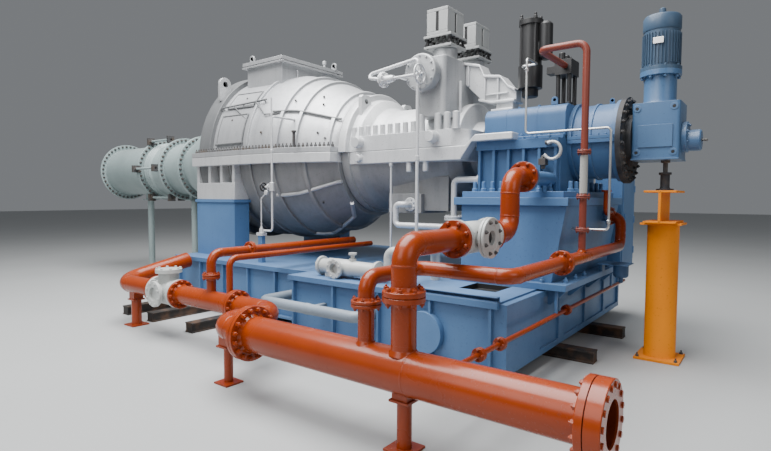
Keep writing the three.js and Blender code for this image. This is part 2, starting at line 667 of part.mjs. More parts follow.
function spokedWheel(spokes) {
  const rim = new THREE.TorusGeometry(WHEEL.radius - WHEEL.rim, WHEEL.rim, 6, 20);
  let wheel = solid(rim);
  const hubBlank = new THREE.CylinderGeometry(WHEEL.hub, WHEEL.hub, WHEEL.thickness * 2, 12);
  hubBlank.rotateX(Math.PI / 2);
  wheel = wheel.add(solid(hubBlank));
  for (let i = 0; i < spokes; i += 1) {
    const spoke = new THREE.CylinderGeometry(8, 8, WHEEL.radius - WHEEL.rim, 6);
    spoke.translate(0, (WHEEL.radius - WHEEL.rim) / 2, 0);
    spoke.rotateZ((2 * Math.PI * i) / spokes);
    wheel = wheel.add(solid(spoke));
  }
  return wheel;
}

function addSteamPipe() {
  const { bonnet, y, z } = STEM;
  const line = join(
    pipe([[1110, -920, DECK_Z], [1110, -920, 3240], [420, -920, 3200]], 20, 70, 10, 4),
    pipe([[420, -1000, z], [bonnet - 40, y, z]], 34, 60, 12, 1),
    uprightBar(450, -960, 3000, 3230, 45),
    barAlongX(bonnet - 50, bonnet, y, z, 90),
    barAlongX(bonnet, bonnet + 130, y, z, 42),
    barAlongX(bonnet, STEM.end, y, z, STEM.radius, 12),
    box(900, -1015, z - 15, 940, -COVER.face, z + 15),
  );
  place('steam_pipe', line, silver);
  const wheel = spokedWheel(5).rotate([0, 90, 0]).translate([STEM.end - 45, y, z]);
  const bore = barAlongX(STEM.end - 200, STEM.end + 100, y, z, STEM.radius + 1, 12);
  place('steam_valve_handwheel', wheel.subtract(bore), silver);
}

// Pedestal: a blue casting whose right side leans in to its foot, with a flat table on top. Its foot
// plate reaches out past the skid on gussets, and a drain pot hangs off that end.
const PORT = { x: 2920, y: 380, z: 1440, flange: 105 };
const FOOT = { left: 1650, right: 2906, half: 1070, top: 820 };
const TABLE = { left: 1670, right: 2900, half: 1040, bottom: 1570 };

function pedestalWalls(clearance) {
  const half = 990;
  const footRight = 2740;
  return sidePlate([
    [PEDESTAL_LEFT, FOOT.top - 1], [footRight + clearance, FOOT.top - 1],
    [PEDESTAL_RIGHT + clearance, TABLE.bottom], [PEDESTAL_LEFT, TABLE.bottom],
  ], -half, half);
}

function addPedestal() {
  const gusset = { reach: 170, depth: 160, thickness: 20 };
  const pot = { x: 3090, y: 240, z0: 760, z1: 905, radius: 80, shelf: 150 };
  let pedestal = join(
    box(FOOT.left, -FOOT.half, DECK_Z, FOOT.right, FOOT.half, FOOT.top),
    pedestalWalls(0),
    box(TABLE.left, -TABLE.half, TABLE.bottom, TABLE.right, TABLE.half, TABLE_Z),
    barAlongX(2700, PORT.x - 10, PORT.y, PORT.z, 62),
    barAlongX(PORT.x - 30, PORT.x, PORT.y, PORT.z, PORT.flange),
    box(FOOT.right - 40, pot.y - 60, FOOT.top - 1, FOOT.right, pot.y + 60, pot.z1),
    box(FOOT.right - 40, pot.y - pot.shelf, pot.z1 - 1, pot.x + 100, pot.y + pot.shelf, pot.z1 + 12),
    uprightBar(pot.x, pot.y, pot.z0, pot.z1, pot.radius, 20),
    uprightBar(pot.x, pot.y, pot.z0 - 60, pot.z0 + 1, 24, 10),
  );
  for (const y of [-940, -330, 330, 940]) {
    pedestal = pedestal.add(sidePlate([[SKID_RIGHT, DECK_Z + 1], [SKID_RIGHT, DECK_Z - gusset.depth],
      [SKID_RIGHT + gusset.reach, DECK_Z + 1]], y - gusset.thickness / 2, y + gusset.thickness / 2));
  }
  place('pedestal', pedestal, blue);
}

// Bearing housing: a ribbed box on the table, with a round-shouldered cover bolted on.
const HOUSING = { half: 600, flangeHalf: 670, right: 2670, flange: 100 };
const STUB = { x: 2580, y: -1330, z: 1840, radius: 70, flange: 142, thickness: 35 };

function addBearingHousing() {
  const ribs = 6;
  const thickness = 30;
  let housing = join(
    box(PEDESTAL_LEFT, -HOUSING.half, TABLE_Z, HOUSING.right, HOUSING.half, HOUSING_SPLIT_Z),
    box(PEDESTAL_LEFT, -HOUSING.flangeHalf, HOUSING_SPLIT_Z - HOUSING.flange,
      HOUSING.right, HOUSING.flangeHalf, HOUSING_SPLIT_Z),
    box(PEDESTAL_LEFT, -HOUSING.flangeHalf, TABLE_Z, HOUSING.right, HOUSING.flangeHalf, TABLE_Z + 40),
  );
  for (let i = 0; i < ribs; i += 1) {
    const x = PEDESTAL_LEFT + 20 + ((HOUSING.right - PEDESTAL_LEFT - 40 - thickness) * i) / (ribs - 1);
    housing = housing.add(box(x, -HOUSING.flangeHalf + 10, TABLE_Z + 20,
      x + thickness, HOUSING.flangeHalf - 10, HOUSING_SPLIT_Z - 20));
  }
  housing = join(housing,
    barAlongY(STUB.y + 10, -HOUSING.half, STUB.x, STUB.z, STUB.radius, 14),
    barAlongY(STUB.y, STUB.y + STUB.thickness, STUB.x, STUB.z, STUB.flange));
  place('bearing_housing', housing, blue);

  const half = 470;
  const shoulder = 120;
  const outline = [[-half, HOUSING_SPLIT_Z], [half, HOUSING_SPLIT_Z]];
  for (let i = 0; i <= 5; i += 1) {
    const angle = (i * Math.PI) / 10;
    outline.push([half - shoulder + shoulder * Math.cos(angle),
      COVER_TOP_Z - shoulder + shoulder * Math.sin(angle)]);
  }
  for (let i = 5; i >= 0; i -= 1) {
    const angle = (i * Math.PI) / 10;
    outline.push([-half + shoulder - shoulder * Math.cos(angle),
      COVER_TOP_Z - shoulder + shoulder * Math.sin(angle)]);
  }
  const cover = crossPlate(outline, PEDESTAL_LEFT, HOUSING.right)
    .subtract(barAlongX(PEDESTAL_LEFT - 100, PEDESTAL_LEFT, 0, SHAFT_Z, 240));
  place('bearing_cover', cover, blue);

  place('rear_cabinet', box(2560, FOOT.half + 5, DECK_Z, 2890, 1750, 1950), blue);
}

// Coupling housing: a flanged drum between the bearing housing and the turning gear.
const COUPLING = { left: 2670, right: 3150, radius: 398, flange: 430, z: 2255 };

function addCouplingHousing() {
  const rim = 45;
  const { left, right, radius, flange, z } = COUPLING;
  place('coupling_housing', turned([
    [left, 0], [left, flange], [left + rim, flange], [left + rim, radius],
    [left + 210, radius], [left + 210, radius + 14], [left + 240, radius + 14], [left + 240, radius],
    [right - rim, radius], [right - rim, flange], [right, flange], [right, 0],
  ], 32, 0, z), blue);
}

// Turning gear: a gear case with a motor standing on it, held off the coupling housing by a dark ring,
// with a T handle in its end cap.
const GEAR = { x0: 3256, x1: 3687, half: 220, base: 2031, z0: 2046, z1: 2600, neck: 150, neckTop: 2930 };
const CAP = { left: 3690, right: 3850, radius: 105, z: 2222, ring: 153, ringZ: 2258 };
const HANDLE = { shaft: 12, grip: 3890, half: 48, bar: 10 };

function addTurningGear() {
  const ring = { right: 3200, radius: 451, neck: 270 };
  place('adapter_ring', turned([
    [COUPLING.right, 0], [COUPLING.right, ring.radius], [ring.right, ring.radius],
    [ring.right, ring.neck], [GEAR.x0, ring.neck], [GEAR.x0, 0],
  ], 32, 0, COUPLING.z), black);

  const pad = 12;
  const bore = barAlongX(CAP.right - 40, CAP.right + 10, 0, CAP.z, HANDLE.shaft + 1, 12);
  place('gear_case', join(
    box(GEAR.x0, -GEAR.half - 20, GEAR.base, GEAR.x1, GEAR.half + 20, GEAR.z0),
    box(GEAR.x0, -GEAR.half, GEAR.z0 - 1, GEAR.x1, GEAR.half, GEAR.z1),
    box(GEAR.x0 + 60, -GEAR.half - pad, GEAR.z0 + 110, GEAR.x1 - 60, GEAR.half + pad, GEAR.z0 + 330),
    uprightBar(GEAR_X, 0, GEAR.z1 - 1, GEAR.neckTop - 50, GEAR.neck, 20),
    uprightBar(GEAR_X, 0, GEAR.neckTop - 55, GEAR.neckTop, 190, 20),
    barAlongX(GEAR.x1 - 1, CAP.left + 45, 0, CAP.ringZ, CAP.ring, 20),
    barAlongX(CAP.left, CAP.right, 0, CAP.z, CAP.radius, 18),
  ).subtract(bore), blue);

  const motorRadius = 165;
  const motorTop = 3470;
  const fins = 14;
  let motor = join(
    uprightBar(GEAR_X, 0, GEAR.neckTop, motorTop, motorRadius, 24),
    uprightBar(GEAR_X, 0, 3330, motorTop + 20, motorRadius + 10, 24),
    uprightBar(GEAR_X, 0, GEAR.neckTop, GEAR.neckTop + 35, 190, 24),
    box(GEAR_X - 90, 120, 3100, GEAR_X + 90, 260, 3270),
    uprightBar(GEAR_X, 0, motorTop, motorTop + 100, 30, 12),
  );
  for (let i = 0; i < fins; i += 1) {
    const fin = box(0, -6, 2990, motorRadius + 14, 6, 3300)
      .rotate([0, 0, (360 * i) / fins])
      .translate([GEAR_X, 0, 0]);
    motor = motor.add(fin);
  }
  place('gear_motor', motor, blue);

  place('turning_handle', join(
    barAlongX(CAP.right - 25, HANDLE.grip, 0, CAP.z, HANDLE.shaft, 12),
    barAlongY(-HANDLE.half, HANDLE.half, HANDLE.grip, CAP.z, HANDLE.bar, 10),
  ), darkSteel);
}

// Yellow stand under the turning gear, with a screw jack on the beam across its top.
const STAND = { radius: 147, top: 1400, beamTop: 1725, y: -20 };
const JACK = { screw: 24, screwFoot: 1815, boreFoot: 1735, bodyTop: 1910, bodyRadius: 43, padBottom: 2010 };

function addStand() {
  const { radius, top, beamTop, y } = STAND;
  const topHalf = 185;
  const beamHalf = 145;
  const beamLength = 260;
  const plate = 20;
  place('yellow_stand', join(
    box(STAND_X - 207, y - 210, 0, STAND_X + 207, y + 210, 25),
    uprightBar(STAND_X, y, 24, top - plate + 1, radius, 24),
    box(STAND_X - topHalf, y - topHalf, top - plate, STAND_X + topHalf, y + topHalf, top),
    box(STAND_X - beamHalf, y - beamLength, top - 1, STAND_X + beamHalf, y + beamLength, top + plate),
    box(STAND_X - 12, y - beamLength, top, STAND_X + 12, y + beamLength, beamTop),
    box(STAND_X - beamHalf, y - beamLength, beamTop - plate, STAND_X + beamHalf, y + beamLength, beamTop),
  ), yellow);

  const bore = uprightBar(STAND_X, y, JACK.boreFoot, JACK.bodyTop + 10, JACK.screw + 1, 16);
  place('jack_body', join(
    uprightBar(STAND_X, y, beamTop, beamTop + 20, 80),
    uprightBar(STAND_X, y, beamTop + 19, JACK.bodyTop, JACK.bodyRadius),
  ).subtract(bore), darkSteel);
  place('jack_screw', join(
    uprightBar(STAND_X, y, JACK.screwFoot, JACK.padBottom, JACK.screw, 16),
    uprightBar(STAND_X, y, JACK.padBottom - 2, GEAR.base, 42),
  ), darkSteel);
}

// Oil header along the front: flanged lengths of pipe, each standing on a post by a square shoe.
const HEADER = { radius: 147, flange: 228, left: 1027, right: 3885, bore: 125 };
const BACK = { radius: 108, flange: 165, left: -1020, right: 40 };
const JOG_X = 620;
const FLANGE = 35;
const SHOE_Z = 340;
const RISER_FOOT_Z = 700;
const RING_RISER_X = 2265;

function postAndShoe(x, y, tubeRadius, footHalf) {
  const plate = 15;
  return join(
    box(x - footHalf, y - footHalf, 0, x + footHalf, y + footHalf, plate),
    uprightBar(x, y, plate - 1, SHOE_Z - plate + 1, tubeRadius, 12),
    box(x - 75, y - 75, SHOE_Z - plate, x + 75, y + 75, SHOE_Z),
    box(x - 60, y - 60, SHOE_Z - 1, x + 60, y + 60, HEADER_Z),
  );
}

// The drain branch leaves the header's back and runs under the end of the skid, hung off the pedestal.
function drainBranch() {
  const drain = { x: 2800, end: 1700, radius: 21, flange: 52, thickness: 22 };
  let branch = barAlongY(HEADER_Y, drain.end, drain.x, HEADER_Z, drain.radius, 10);
  for (const y of [-2640, -2290, -730]) {
    for (const gap of [0, drain.thickness + 4]) {
      const y0 = y + gap;
      branch = branch.add(barAlongY(y0, y0 + drain.thickness, drain.x, HEADER_Z, drain.flange, 14));
    }
    branch = branch.add(barAlongY(y, y + 2 * drain.thickness, drain.x, HEADER_Z, drain.flange - 20, 12));
  }
  for (const y of [-1010, 1010]) {
    branch = branch.add(box(drain.x - 12, y - 15, HEADER_Z, drain.x + 12, y + 15, DECK_Z));
  }
  return branch;
}

function addHeader() {
  const { radius, flange, left, right, bore } = HEADER;
  const gasketX = 3785;
  const gap = 3;
  place('oil_header', join(
    barAlongX(left + 10, right - 10, HEADER_Y, HEADER_Z, radius, 24),
    barAlongX(left, left + FLANGE, HEADER_Y, HEADER_Z, flange, 24),
    barAlongX(gasketX - 45, gasketX - gap, HEADER_Y, HEADER_Z, flange, 24),
    barAlongX(gasketX - gap - 1, gasketX + gap + 1, HEADER_Y, HEADER_Z, flange - 25, 24),
    barAlongX(gasketX + gap, right, HEADER_Y, HEADER_Z, flange, 24),
    uprightBar(RISER_X, HEADER_Y, HEADER_Z, RISER_FOOT_Z, RISER.radius, 14),
    uprightBar(RING_RISER_X, HEADER_Y, HEADER_Z, RISER_FOOT_Z, RING_RADIUS, 12),
    postAndShoe(2590, HEADER_Y, 50, 100),
    drainBranch(),
  ).subtract(barAlongX(right - 650, right + 10, HEADER_Y, HEADER_Z, bore, 24)), orange);

  const riser = { x: -400, top: 1030, radius: 50, flange: 95 };
  const thinRiser = { x: -75, top: 1000, radius: 34 };
  const riserEndY = -300;
  place('oil_header_back', join(
    pipe([[left, HEADER_Y, HEADER_Z], [JOG_X, HEADER_Y, HEADER_Z],
      [JOG_X, BACK_HEADER_Y, HEADER_Z], [BACK.right, BACK_HEADER_Y, HEADER_Z]], 112, 160, 16, 4),
    barAlongX(left - FLANGE, left, HEADER_Y, HEADER_Z, flange, 24),
    barAlongX(BACK.left + 10, BACK.right + 10, BACK_HEADER_Y, HEADER_Z, BACK.radius),
    barAlongX(BACK.right - FLANGE, BACK.right + FLANGE, BACK_HEADER_Y, HEADER_Z, BACK.flange),
    barAlongX(BACK.left, BACK.left + FLANGE, BACK_HEADER_Y, HEADER_Z, BACK.flange),
    pipe([[riser.x, BACK_HEADER_Y, HEADER_Z], [riser.x, BACK_HEADER_Y, riser.top],
      [riser.x, riserEndY, riser.top]], riser.radius, 120, 10, 3),
    uprightBar(riser.x, BACK_HEADER_Y, 760, 810, riser.flange),
    barAlongY(-2155, -2105, riser.x, riser.top, riser.flange),
    pipe([[thinRiser.x, BACK_HEADER_Y, HEADER_Z], [thinRiser.x, BACK_HEADER_Y, thinRiser.top],
      [thinRiser.x, riserEndY, thinRiser.top]], thinRiser.radius, 90, 8, 3),
    postAndShoe(JOG_X + 40, HEADER_Y + 40, 40, 90),
  ), orange);

  const valve = { right: BACK.left, left: -1500, x: -1250, port: -2860 };
  place('header_valve', join(
    barAlongX(valve.left + 10, valve.right - 10, BACK_HEADER_Y, HEADER_Z, 115),
    barAlongX(valve.right - FLANGE, valve.right, BACK_HEADER_Y, HEADER_Z, BACK.flange),
    barAlongX(valve.left, valve.left + FLANGE, BACK_HEADER_Y, HEADER_Z, BACK.flange),
    uprightBar(valve.x, BACK_HEADER_Y, HEADER_Z, 760, 115),
    uprightBar(valve.x, BACK_HEADER_Y, 745, 790, 150),
    barAlongY(valve.port, BACK_HEADER_Y, valve.x, HEADER_Z, 105),
    barAlongY(valve.port, valve.port + FLANGE, valve.x, HEADER_Z, 150),
  ).subtract(barAlongY(valve.port - 10, valve.port + 30, valve.x, HEADER_Z, 80)), ivory);

  place('oil_header_tail', join(
    pipe([[valve.left, BACK_HEADER_Y, HEADER_Z], [-2390, BACK_HEADER_Y, HEADER_Z],
      [-2390, -1700, 720]], BACK.radius, 230, 14, 4),
    barAlongX(valve.left - FLANGE, valve.left, BACK_HEADER_Y, HEADER_Z, BACK.flange),
    postAndShoe(-2030, BACK_HEADER_Y, 60, 110),
  ), orange);
}

// Large oil pipe: off the header, through a white valve and up into the bearing housing.
function addLargeRiser() {
  const { radius, flange } = RISER;
  const topZ = 1340;
  const valve = { y0: -2590, y1: -2050 };
  place('large_riser', join(
    pipe([[RISER_X, HEADER_Y, RISER_FOOT_Z], [RISER_X, HEADER_Y, topZ], [RISER_X, valve.y0, topZ]],
      radius, 130, 14, 4),
    uprightBar(RISER_X, HEADER_Y, 975, 1050, flange),
    barAlongY(valve.y0 - FLANGE, valve.y0, RISER_X, topZ, flange),
  ), orange);

  place('riser_valve', join(
    barAlongY(valve.y0 + 10, valve.y1 - 10, RISER_X, topZ, 95),
    barAlongY(valve.y0, valve.y0 + FLANGE, RISER_X, topZ, flange),
    barAlongY(valve.y1 - FLANGE, valve.y1, RISER_X, topZ, flange),
    barAlongY(-2420, -2220, RISER_X, topZ, 125),
    barAlongX(RISER_X + 40, 2740, -2320, topZ, 82, 14),
    barAlongX(2715, 2750, -2320, topZ, 158),
  ), ivory);

  place('riser_bend', join(
    pipe([[RISER_X, valve.y1, topZ], [RISER_X, -1630, topZ], [RISER_X, -1630, STUB.z],
      [RISER_X, STUB.y, STUB.z]], radius, 150, 14, 4),
    barAlongY(valve.y1, valve.y1 + FLANGE, RISER_X, topZ, flange),
    barAlongY(STUB.y - FLANGE, STUB.y, RISER_X, STUB.z, flange),
  ), orange);
}

// Ring pipe: a smaller oil pipe that rises off the header and rounds the pedestal's right end.
const BROWN = { radius: 32, y: -1050, foot: 1180 };

function addRingPipe() {
  const z = 1100;
  const flange = 105;
  const crossing = -2610;
  place('ring_pipe', join(
    pipe([[RING_RISER_X, HEADER_Y, RISER_FOOT_Z], [RING_RISER_X, HEADER_Y, z], [RING_RISER_X, crossing, z],
      [RING_X, crossing, z], [RING_X, PORT.y, z], [RING_X, PORT.y, PORT.z],
      [PORT.x, PORT.y, PORT.z]], RING_RADIUS, 100, 12, 3),
    barAlongX(PORT.x, PORT.x + 20, PORT.y, PORT.z, flange),
    uprightBar(RING_RISER_X, HEADER_Y, 900, 950, flange),
    barAlongY(-1625, -1575, RING_X, z, flange),
    uprightBar(RING_X, BROWN.y, z, BROWN.foot, BROWN.radius, 10),
  ), orange);
}

// Brown pipe: a thin riser off the ring pipe, over the bearing cover to the control valves.
function addBrownPipe() {
  const { radius, y, foot } = BROWN;
  const topZ = 3060;
  const flange = { radius: 62, thickness: 30 };
  const end = { x: 2600, y: -330 };
  let riser = pipe([[RING_X, y, foot], [RING_X, y, topZ], [end.x, y, topZ], [end.x, end.y, topZ]],
    radius, 90, 10, 3);
  for (const z of [1338, 1645, 2055]) {
    riser = riser.add(uprightBar(RING_X, y, z, z + flange.thickness, flange.radius));
  }
  place('brown_riser', riser, brownRed);

  const leg = 22;
  let valves = join(
    box(end.x - 110, end.y, topZ - 90, end.x + 70, end.y + 260, topZ + 70),
    box(end.x - 210, end.y + 40, topZ - 60, end.x - 100, end.y + 160, topZ + 20),
  );
  for (const [dx, dy] of [[-80, 40], [40, 40], [-80, 220], [40, 220]]) {
    valves = valves.add(uprightBar(end.x + dx, end.y + dy, COVER_TOP_Z, topZ - 80, leg, 10));
  }
  place('control_valves', valves, black);
}

// White line along the foot of the skid's front, from one panel of it to another.
function addWhiteLine() {
  const line = { x0: -175, x1: 1240, y: -2150, z: 468, radius: 57 };
  const strapX = 560;
  place('white_line', join(
    pipe([[line.x0, -NARROW_HALF + PANEL_DEPTH, line.z], [line.x0, line.y, line.z],
      [line.x1, line.y, line.z], [line.x1, -WIDE_HALF + PANEL_DEPTH, line.z]], line.radius, 90, 14, 4),
    box(strapX - 25, line.y, line.z - 20, strapX + 25, -WIDE_HALF + PANEL_DEPTH, line.z + 20),
  ), ivory);
}

// Drain valve on the deck: a white body with an open flanged port, and the pipe up to the casing.
function addDrainValve() {
  const body = { x0: 330, x1: 1170, y: -1700, z: 866, radius: 84 };
  const port = { x: 650, y: -1850, radius: 76, flange: 108, bore: 60, depth: 60 };
  const line = { radius: 52, rise: 1290, top: 1090, turn: 1540, end: -1190 };
  const saddle = { half: 40, radius: 60 };
  const stemX = 800;
  let valve = join(
    barAlongX(body.x0 + 10, body.x1 - 10, body.y, body.z, body.radius),
    barAlongX(body.x0, body.x0 + 30, body.y, body.z, port.flange),
    barAlongX(body.x1 - 30, body.x1, body.y, body.z, port.flange),
    barAlongY(port.y, body.y, port.x, body.z, port.radius),
    barAlongY(port.y, port.y + 30, port.x, body.z, port.flange, 20),
    pipe([[body.x1 - 10, body.y, body.z], [line.rise, body.y, body.z], [line.rise, body.y, line.top],
      [line.turn, body.y, line.top], [line.turn, line.end, line.top], [line.turn, line.end, DECK_Z]],
      line.radius, 75, 12, 4),
    uprightBar(stemX, body.y, body.z, body.z + 150, 22, 10),
    uprightBar(stemX, body.y, body.z + 150, body.z + 175, 45, 12),
  );
  for (const x of [480, 1000]) {
    valve = valve.add(box(x - saddle.half, body.y - saddle.radius, DECK_Z,
      x + saddle.half, body.y + saddle.radius, body.z));
  }
  const bore = barAlongY(port.y - 10, port.y + port.depth, port.x, body.z, port.bore, 20);
  place('drain_valve', valve.subtract(bore), ivory);
}

// Gland steam pipe: from a nozzle on the casing's front block, under the casing and up into the
// bearing housing.
function addGlandSteamPipe() {
  const nozzle = { x: 807, y: -600, z: 1559, flange: 85 };
  const radius = 37;
  const low = 1300;
  const high = 1855;
  const front = -720;
  const rise = { x: 1400, y: -560 };
  place('gland_steam_pipe', join(
    pipe([[nozzle.x, nozzle.y, nozzle.z], [nozzle.x, front, nozzle.z], [660, front, nozzle.z],
      [660, front, low], [rise.x, front, low], [rise.x, rise.y, low], [rise.x, rise.y, high],
      [PEDESTAL_LEFT, rise.y, high]], radius, 60, 12, 3),
    barAlongY(nozzle.y - 30, nozzle.y, nozzle.x, nozzle.z, nozzle.flange),
    barAlongX(PEDESTAL_LEFT - 25, PEDESTAL_LEFT, rise.y, high, 60),
  ), silver);
}

// Instrument tube: bright tube from the actuator down to the table, along the bearing housing and
// down the outside of the pedestal.
function addInstrumentTube() {
  const tube = { y: -700, radius: 12, bend: 40 };
  const actuatorSide = uprightBar(ACTUATOR.x, ACTUATOR.y, ACTUATOR.bottom, ACTUATOR.top,
    ACTUATOR.radius + SEAT);
  const route = [
    [ACTUATOR.x, ACTUATOR.y, 3100], [ACTUATOR.x, -400, 3100], [2330, -400, 3100], [2330, tube.y, 3100],
    [2330, tube.y, 2320], [3180, tube.y, 2320], [3180, tube.y, 1340], [2790, tube.y, 1340],
  ];
  const bent = pipe(route, tube.radius, tube.bend, 8, 3);
  place('instrument_tube', bent.subtract(actuatorSide).subtract(pedestalWalls(SEAT)), silver);
}

// Hood drain: a thin pipe from the side of the upper hood down to the deck, with a small valve in it.
function addHoodDrain() {
  const drain = { x: -870, y: -1400, top: 2700, radius: 14 };
  const valve = { z: 1775, half: 60, radius: 34 };
  const route = [[drain.x, -900, drain.top], [drain.x, drain.y, drain.top], [drain.x, drain.y, DECK_Z]];
  place('hood_drain_pipe', join(
    pipe(route, drain.radius, 45, 8, 3).subtract(upperHood(SEAT)),
    uprightBar(drain.x, drain.y, valve.z - valve.half, valve.z + valve.half, valve.radius, 10),
    barAlongX(drain.x - 150, drain.x, drain.y, valve.z, 10, 8),
    uprightBar(drain.x, drain.y, DECK_Z, DECK_Z + 15, 45, 10),
  ), silver);
}

addSleepers();
addHoodFrame();
addSteamFrame();
addExhaustHood();
addReliefBox();
addExhaustDuct();
addCasing();
addSteamChest();
addActuator();
addSteamPipe();
addPedestal();
addBearingHousing();
addCouplingHousing();
addTurningGear();
addStand();
addHeader();
addLargeRiser();
addRingPipe();
addBrownPipe();
addWhiteLine();
addDrainValve();
addGlandSteamPipe();
addInstrumentTube();
addHoodDrain();

export default machine;
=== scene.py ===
"""A condensing steam turbine on its skid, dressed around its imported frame.

Metres, +Z up. X runs along the shaft from the exhaust duct to the turning gear, and the shaft lies
over Y = 0. The front of the machine, with the oil pipes, faces -Y.
"""

from math import cos, pi, radians, sin

import bmesh
import bpy
import numpy as np
from mathutils import Matrix, Vector


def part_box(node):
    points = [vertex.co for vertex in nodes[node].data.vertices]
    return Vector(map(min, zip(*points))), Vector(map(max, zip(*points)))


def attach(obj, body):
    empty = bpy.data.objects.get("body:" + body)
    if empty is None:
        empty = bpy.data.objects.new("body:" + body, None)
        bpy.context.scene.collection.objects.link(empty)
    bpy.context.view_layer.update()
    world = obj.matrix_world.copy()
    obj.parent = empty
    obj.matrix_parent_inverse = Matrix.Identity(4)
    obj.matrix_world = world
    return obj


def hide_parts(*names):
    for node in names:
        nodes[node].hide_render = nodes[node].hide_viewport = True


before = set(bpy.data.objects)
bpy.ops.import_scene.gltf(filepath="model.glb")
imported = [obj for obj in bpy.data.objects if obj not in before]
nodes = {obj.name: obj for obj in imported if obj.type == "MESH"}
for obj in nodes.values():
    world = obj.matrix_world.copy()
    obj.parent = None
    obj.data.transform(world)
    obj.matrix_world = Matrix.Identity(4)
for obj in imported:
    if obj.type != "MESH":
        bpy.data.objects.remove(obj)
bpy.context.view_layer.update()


# Sleepers
# Rolled steel beams laid across under the skid, bare but for mill scale, rust and the grease of
# many tests. Nothing fixes them: the skid's weight holds them.

class Signal:
    """A shader socket that reads like a number: sums and products on it add Math nodes."""

    def __init__(self, finish, socket):
        self.finish = finish
        self.socket = socket

    def _math(self, operation, first, second):
        return self.finish.node("ShaderNodeMath", {"operation": operation}, {0: first, 1: second})

    def __add__(self, other):
        return self._math("ADD", self, other)

    def __sub__(self, other):
        return self._math("SUBTRACT", self, other)

    def __rsub__(self, other):
        return self._math("SUBTRACT", other, self)

    def __mul__(self, other):
        return self._math("MULTIPLY", self, other)

    __radd__ = __add__
    __rmul__ = __mul__


class Finish:
    """One surface finish: a Principled shader, and the nodes that vary it over the surface."""

    def __init__(self, name, roughness, metallic=0.0, coat=0.0, specular=0.5):
        self.material = bpy.data.materials.new(name)
        self.material.use_nodes = True
        self.tree = self.material.node_tree
        self.shader = self.tree.nodes["Principled BSDF"]
        for socket, value in (("Roughness", roughness), ("Metallic", metallic), ("Coat Weight", coat),
                              ("Specular IOR Level", specular), ("Coat Roughness", 0.12)):
            self.drive(socket, value)
        self.place = self.node("ShaderNodeTexCoord", output="Object")

    def node(self, kind, settings=(), inputs=(), output=0):
        """Adds a node, sets it up, then sets or links its sockets, and returns one of its outputs."""
        node = self.tree.nodes.new(kind)
        for setting, value in dict(settings).items():
            setattr(node, setting, value)
        for socket, value in dict(inputs).items():
            self.feed(node.inputs[socket], value)
        return Signal(self, node.outputs[output])

    def feed(self, socket, value):
        if isinstance(value, Signal):
            self.tree.links.new(value.socket, socket)
        else:
            socket.default_value = (*value, 1) if socket.type == "RGBA" else value

    def drive(self, socket, value):
        self.feed(self.shader.inputs[socket], value)

    def noise(self, scale, detail=4.0, stretch=(1, 1, 1)):
        """Cloudy noise from 0 to 1, with scale in waves per metre and each axis drawn out by stretch."""
        inputs = {"Vector": self.place, "Scale": [scale / s for s in stretch]}
        spread = self.node("ShaderNodeMapping", {}, inputs)
        return self.node("ShaderNodeTexNoise", {}, {"Vector": spread, "Scale": 1.0, "Detail": detail})

    def between(self, value, low, high):
        """0 where value is under low, 1 where it is over high, and a straight slope between."""
        return self.node("ShaderNodeMapRange", {}, {"Value": value, "From Min": low, "From Max": high})

    def mix(self, share, first, second):
        """The first colour where share is 0 and the second where it is 1."""
        inputs = {"Factor": share, 6: first, 7: second}
        return self.node("ShaderNodeMix", {"data_type": "RGBA"}, inputs, output=2)

    def upward(self, low=0.6, high=1.0):
        """1 where the surface faces up, 0 where it stands upright or faces down."""
        normal = self.node("ShaderNodeNewGeometry", output="Normal")
        return self.between(self.node("ShaderNodeSeparateXYZ", {}, {0: normal}, output="Z"), low, high)

    def edges(self, radius):
        """1 along sharp edges: there the normal rounded off over the radius turns away from the true one."""
        true = self.node("ShaderNodeNewGeometry", output="Normal")
        rounded = self.node("ShaderNodeBevel", {"samples": 4}, {"Radius": radius})
        inputs = {0: true, 1: rounded}
        along = self.node("ShaderNodeVectorMath", {"operation": "DOT_PRODUCT"}, inputs, "Value")
        return self.between(along, 0.98, 0.82)

    def relief(self, height, depth, rounding):
        """Raises the surface by height, from 0 to 1, times depth in metres, over softly rounded edges."""
        rounded = self.node("ShaderNodeBevel", {"samples": 4}, {"Radius": rounding})
        inputs = {"Height": height, "Strength": 1.0, "Distance": depth, "Normal": rounded}
        self.drive("Normal", self.node("ShaderNodeBump", {}, inputs))


def rolled_steel(name, bare, rust):
    """Dark scaled steel, rusty in patches that follow cloudy noise, and brighter along worn edges."""
    finish = Finish(name, roughness=0.7, metallic=0.4)
    patches = finish.between(finish.noise(7.0, 8.0), 0.45, 0.62)
    grain = finish.noise(90.0, 3.0)
    worn = finish.mix(patches, bare, rust)
    finish.drive("Base Color", finish.mix(finish.edges(0.006) * 0.5, worn, (0.2, 0.19, 0.18)))
    finish.drive("Roughness", 0.55 + grain * 0.15 + patches * 0.25)
    finish.drive("Metallic", 0.6 - patches * 0.5)
    finish.relief(grain + patches * 0.6, 0.0008, rounding=0.003)
    return finish.material


def refinish(node_names, material):
    """Gives CAD nodes that keep their shape a better finish."""
    for name in node_names:
        nodes[name].data.materials.clear()
        nodes[name].data.materials.append(material)


SLEEPER_STEEL = rolled_steel("sleeper_steel", (0.045, 0.04, 0.037), (0.11, 0.062, 0.038))
refinish([name for name in nodes if name.startswith("sleeper_")], SLEEPER_STEEL)
